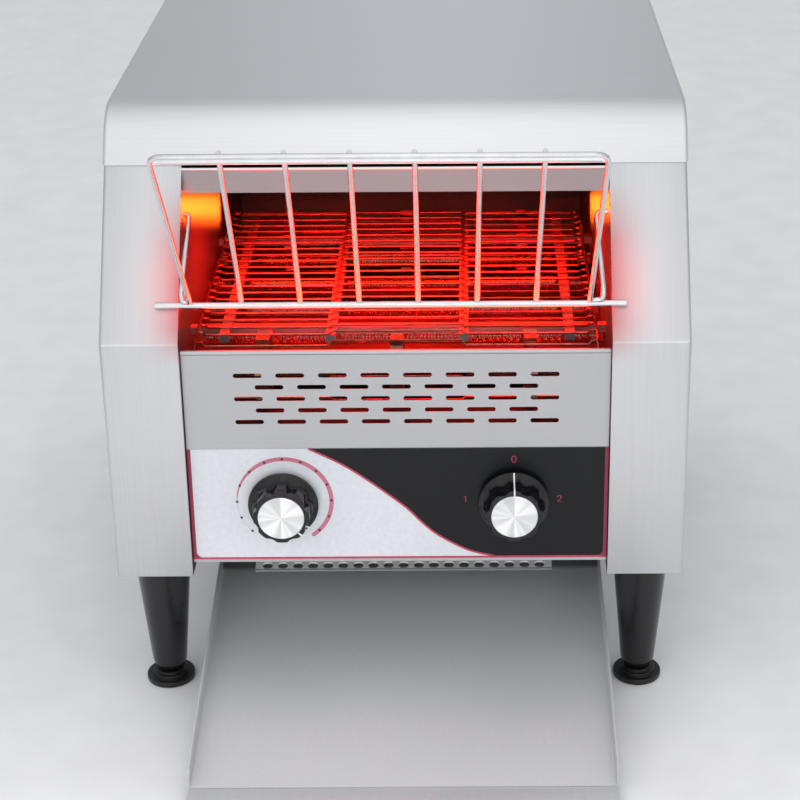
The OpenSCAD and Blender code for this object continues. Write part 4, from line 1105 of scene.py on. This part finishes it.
# %% [markdown]
# ## Sky
# The sky is an even grey. Steel shows what it mirrors, so the mirrored sky isn't even: it is
# brightest in front and above, and dims to both sides. The kind of ray chooses between the two.

# %% Sky
world = bpy.data.worlds.new("studio")
world.use_nodes = True
scene.world = world
sky = world.node_tree
way = add(sky, "TexCoord").outputs["Generated"]
IN_FRONT_AND_ABOVE, TO_THE_RIGHT = (0.0, -0.71, 0.70), (1.0, 0.0, 0.0)
BRIGHT_SKY, SIDE_DIMMING = [1.36, 1.36, 1.38, 1.0], 0.68
upward, sideways = (add(sky, "VectorMath", {"operation": "DOT_PRODUCT"}, {0: way, 1: aim})
                    for aim in (IN_FRONT_AND_ABOVE, TO_THE_RIGHT))
shade = add(sky, "ValToRGB", inputs={"Fac": upward.outputs["Value"]},
            stops=((0.0, linear("#CBCED2")), (0.96, BRIGHT_SKY)))
off_centre = add(sky, "Math", {"operation": "ABSOLUTE"}, {0: sideways.outputs["Value"]})
dimming = add(sky, "MapRange", inputs={"Value": off_centre, "From Max": 0.2, "To Min": 1.0,
                                       "To Max": SIDE_DIMMING})
mirrored_sky = add(sky, "VectorMath", {"operation": "SCALE"}, {0: shade, "Scale": dimming})
ray = add(sky, "LightPath")
seen = linear("#E7E8EA")
for kind, other in (("Is Glossy Ray", mirrored_sky), ("Is Camera Ray", linear("#F9F9F9"))):
    seen = add(sky, "Mix", {"data_type": "RGBA"}, {FACTOR: ray.outputs[kind], FIRST_COLOUR: seen,
                                                   SECOND_COLOUR: other}).outputs[MIXED_COLOUR]
set_inputs(sky, sky.nodes["Background"], {"Color": seen, "Strength": 1.0})
print("sky:", world.name)

# %% [markdown]
# ## Lamps
# Wide soft lamps light the machine from the left, from above and from the right. Three smaller
# ones fill the shade at the front: one low, one on the floor, and one that stands for the light
# thrown back by the tray. Small coloured lamps stand for the glow of the coils on the belt, the
# rack, the chamber walls and the pillars.

# %% Lamps
def lamp(name, place, target, width, height, watts, colour="#FFFFFF", mirrored=False,
         spread_deg=180, roll_deg=0):
    data = bpy.data.lights.new(name, "AREA")
    data.shape = "RECTANGLE"
    data.size, data.size_y, data.energy = width, height, watts
    data.color = linear(colour)[:3]
    data.spread = radians(spread_deg)
    holder = bpy.data.objects.new(name, data)
    holder.location = place
    holder.visible_glossy = mirrored
    holder.visible_camera = False
    turn = (Vector(target) - Vector(place)).to_track_quat("-Z", "Y").to_matrix()
    holder.rotation_euler = (turn @ Matrix.Rotation(radians(roll_deg), 3, "Z")).to_euler()
    scene.collection.objects.link(holder)


DEEP_RED, RED, PALE_RED, ORANGE = "#FF1402", "#FF3A20", "#FF2A18", "#FF7420"
lamp("left_lamp", (-1.2, -1.1, 1.3), (0, 0, 0.2), 1.2, 1.0, 4)
lamp("top_lamp", (0.1, 0.1, 1.9), (0, 0, 0.2), 1.6, 1.2, 4)
lamp("right_lamp", (1.5, -0.9, 0.7), (0, 0, 0.2), 0.8, 1.2, 1.5)
lamp("low_lamp", (0, -1.1, 0.3), (0, 0, 0.08), 1.2, 0.3, 0.8, mirrored=True)
lamp("bounce_lamp", (-0.08, -0.3, 0.035), (-0.06, -0.15, 0.13), 0.16, 0.03, 0.022, spread_deg=120)
lamp("floor_lamp", (0, -0.75, 0.5), (0, -0.5, 0), 1.0, 0.3, 0.7, spread_deg=100)
lamp("upper_glow", at(0, 110, 338), at(0, 120, 252), 0.24, 0.08, 3.1, DEEP_RED, mirrored=True,
     spread_deg=110)
lamp("rack_glow", at(0, 30, 262), at(0, 0, 330), 0.24, 0.05, 0.38, RED, mirrored=True,
     spread_deg=140)
for side in (-1, 1):
    lamp("wall_glow", at(side * 116, 120, 307), at(side * 136, 120, 305), 0.24, 0.012, 1.1, ORANGE,
         spread_deg=60, roll_deg=side * 20)
    lamp("spill_glow", at(side * 126, -55, 366), at(side * 136, 30, 282), 0.05, 0.06, 0.0015,
         PALE_RED, mirrored=True, spread_deg=90)
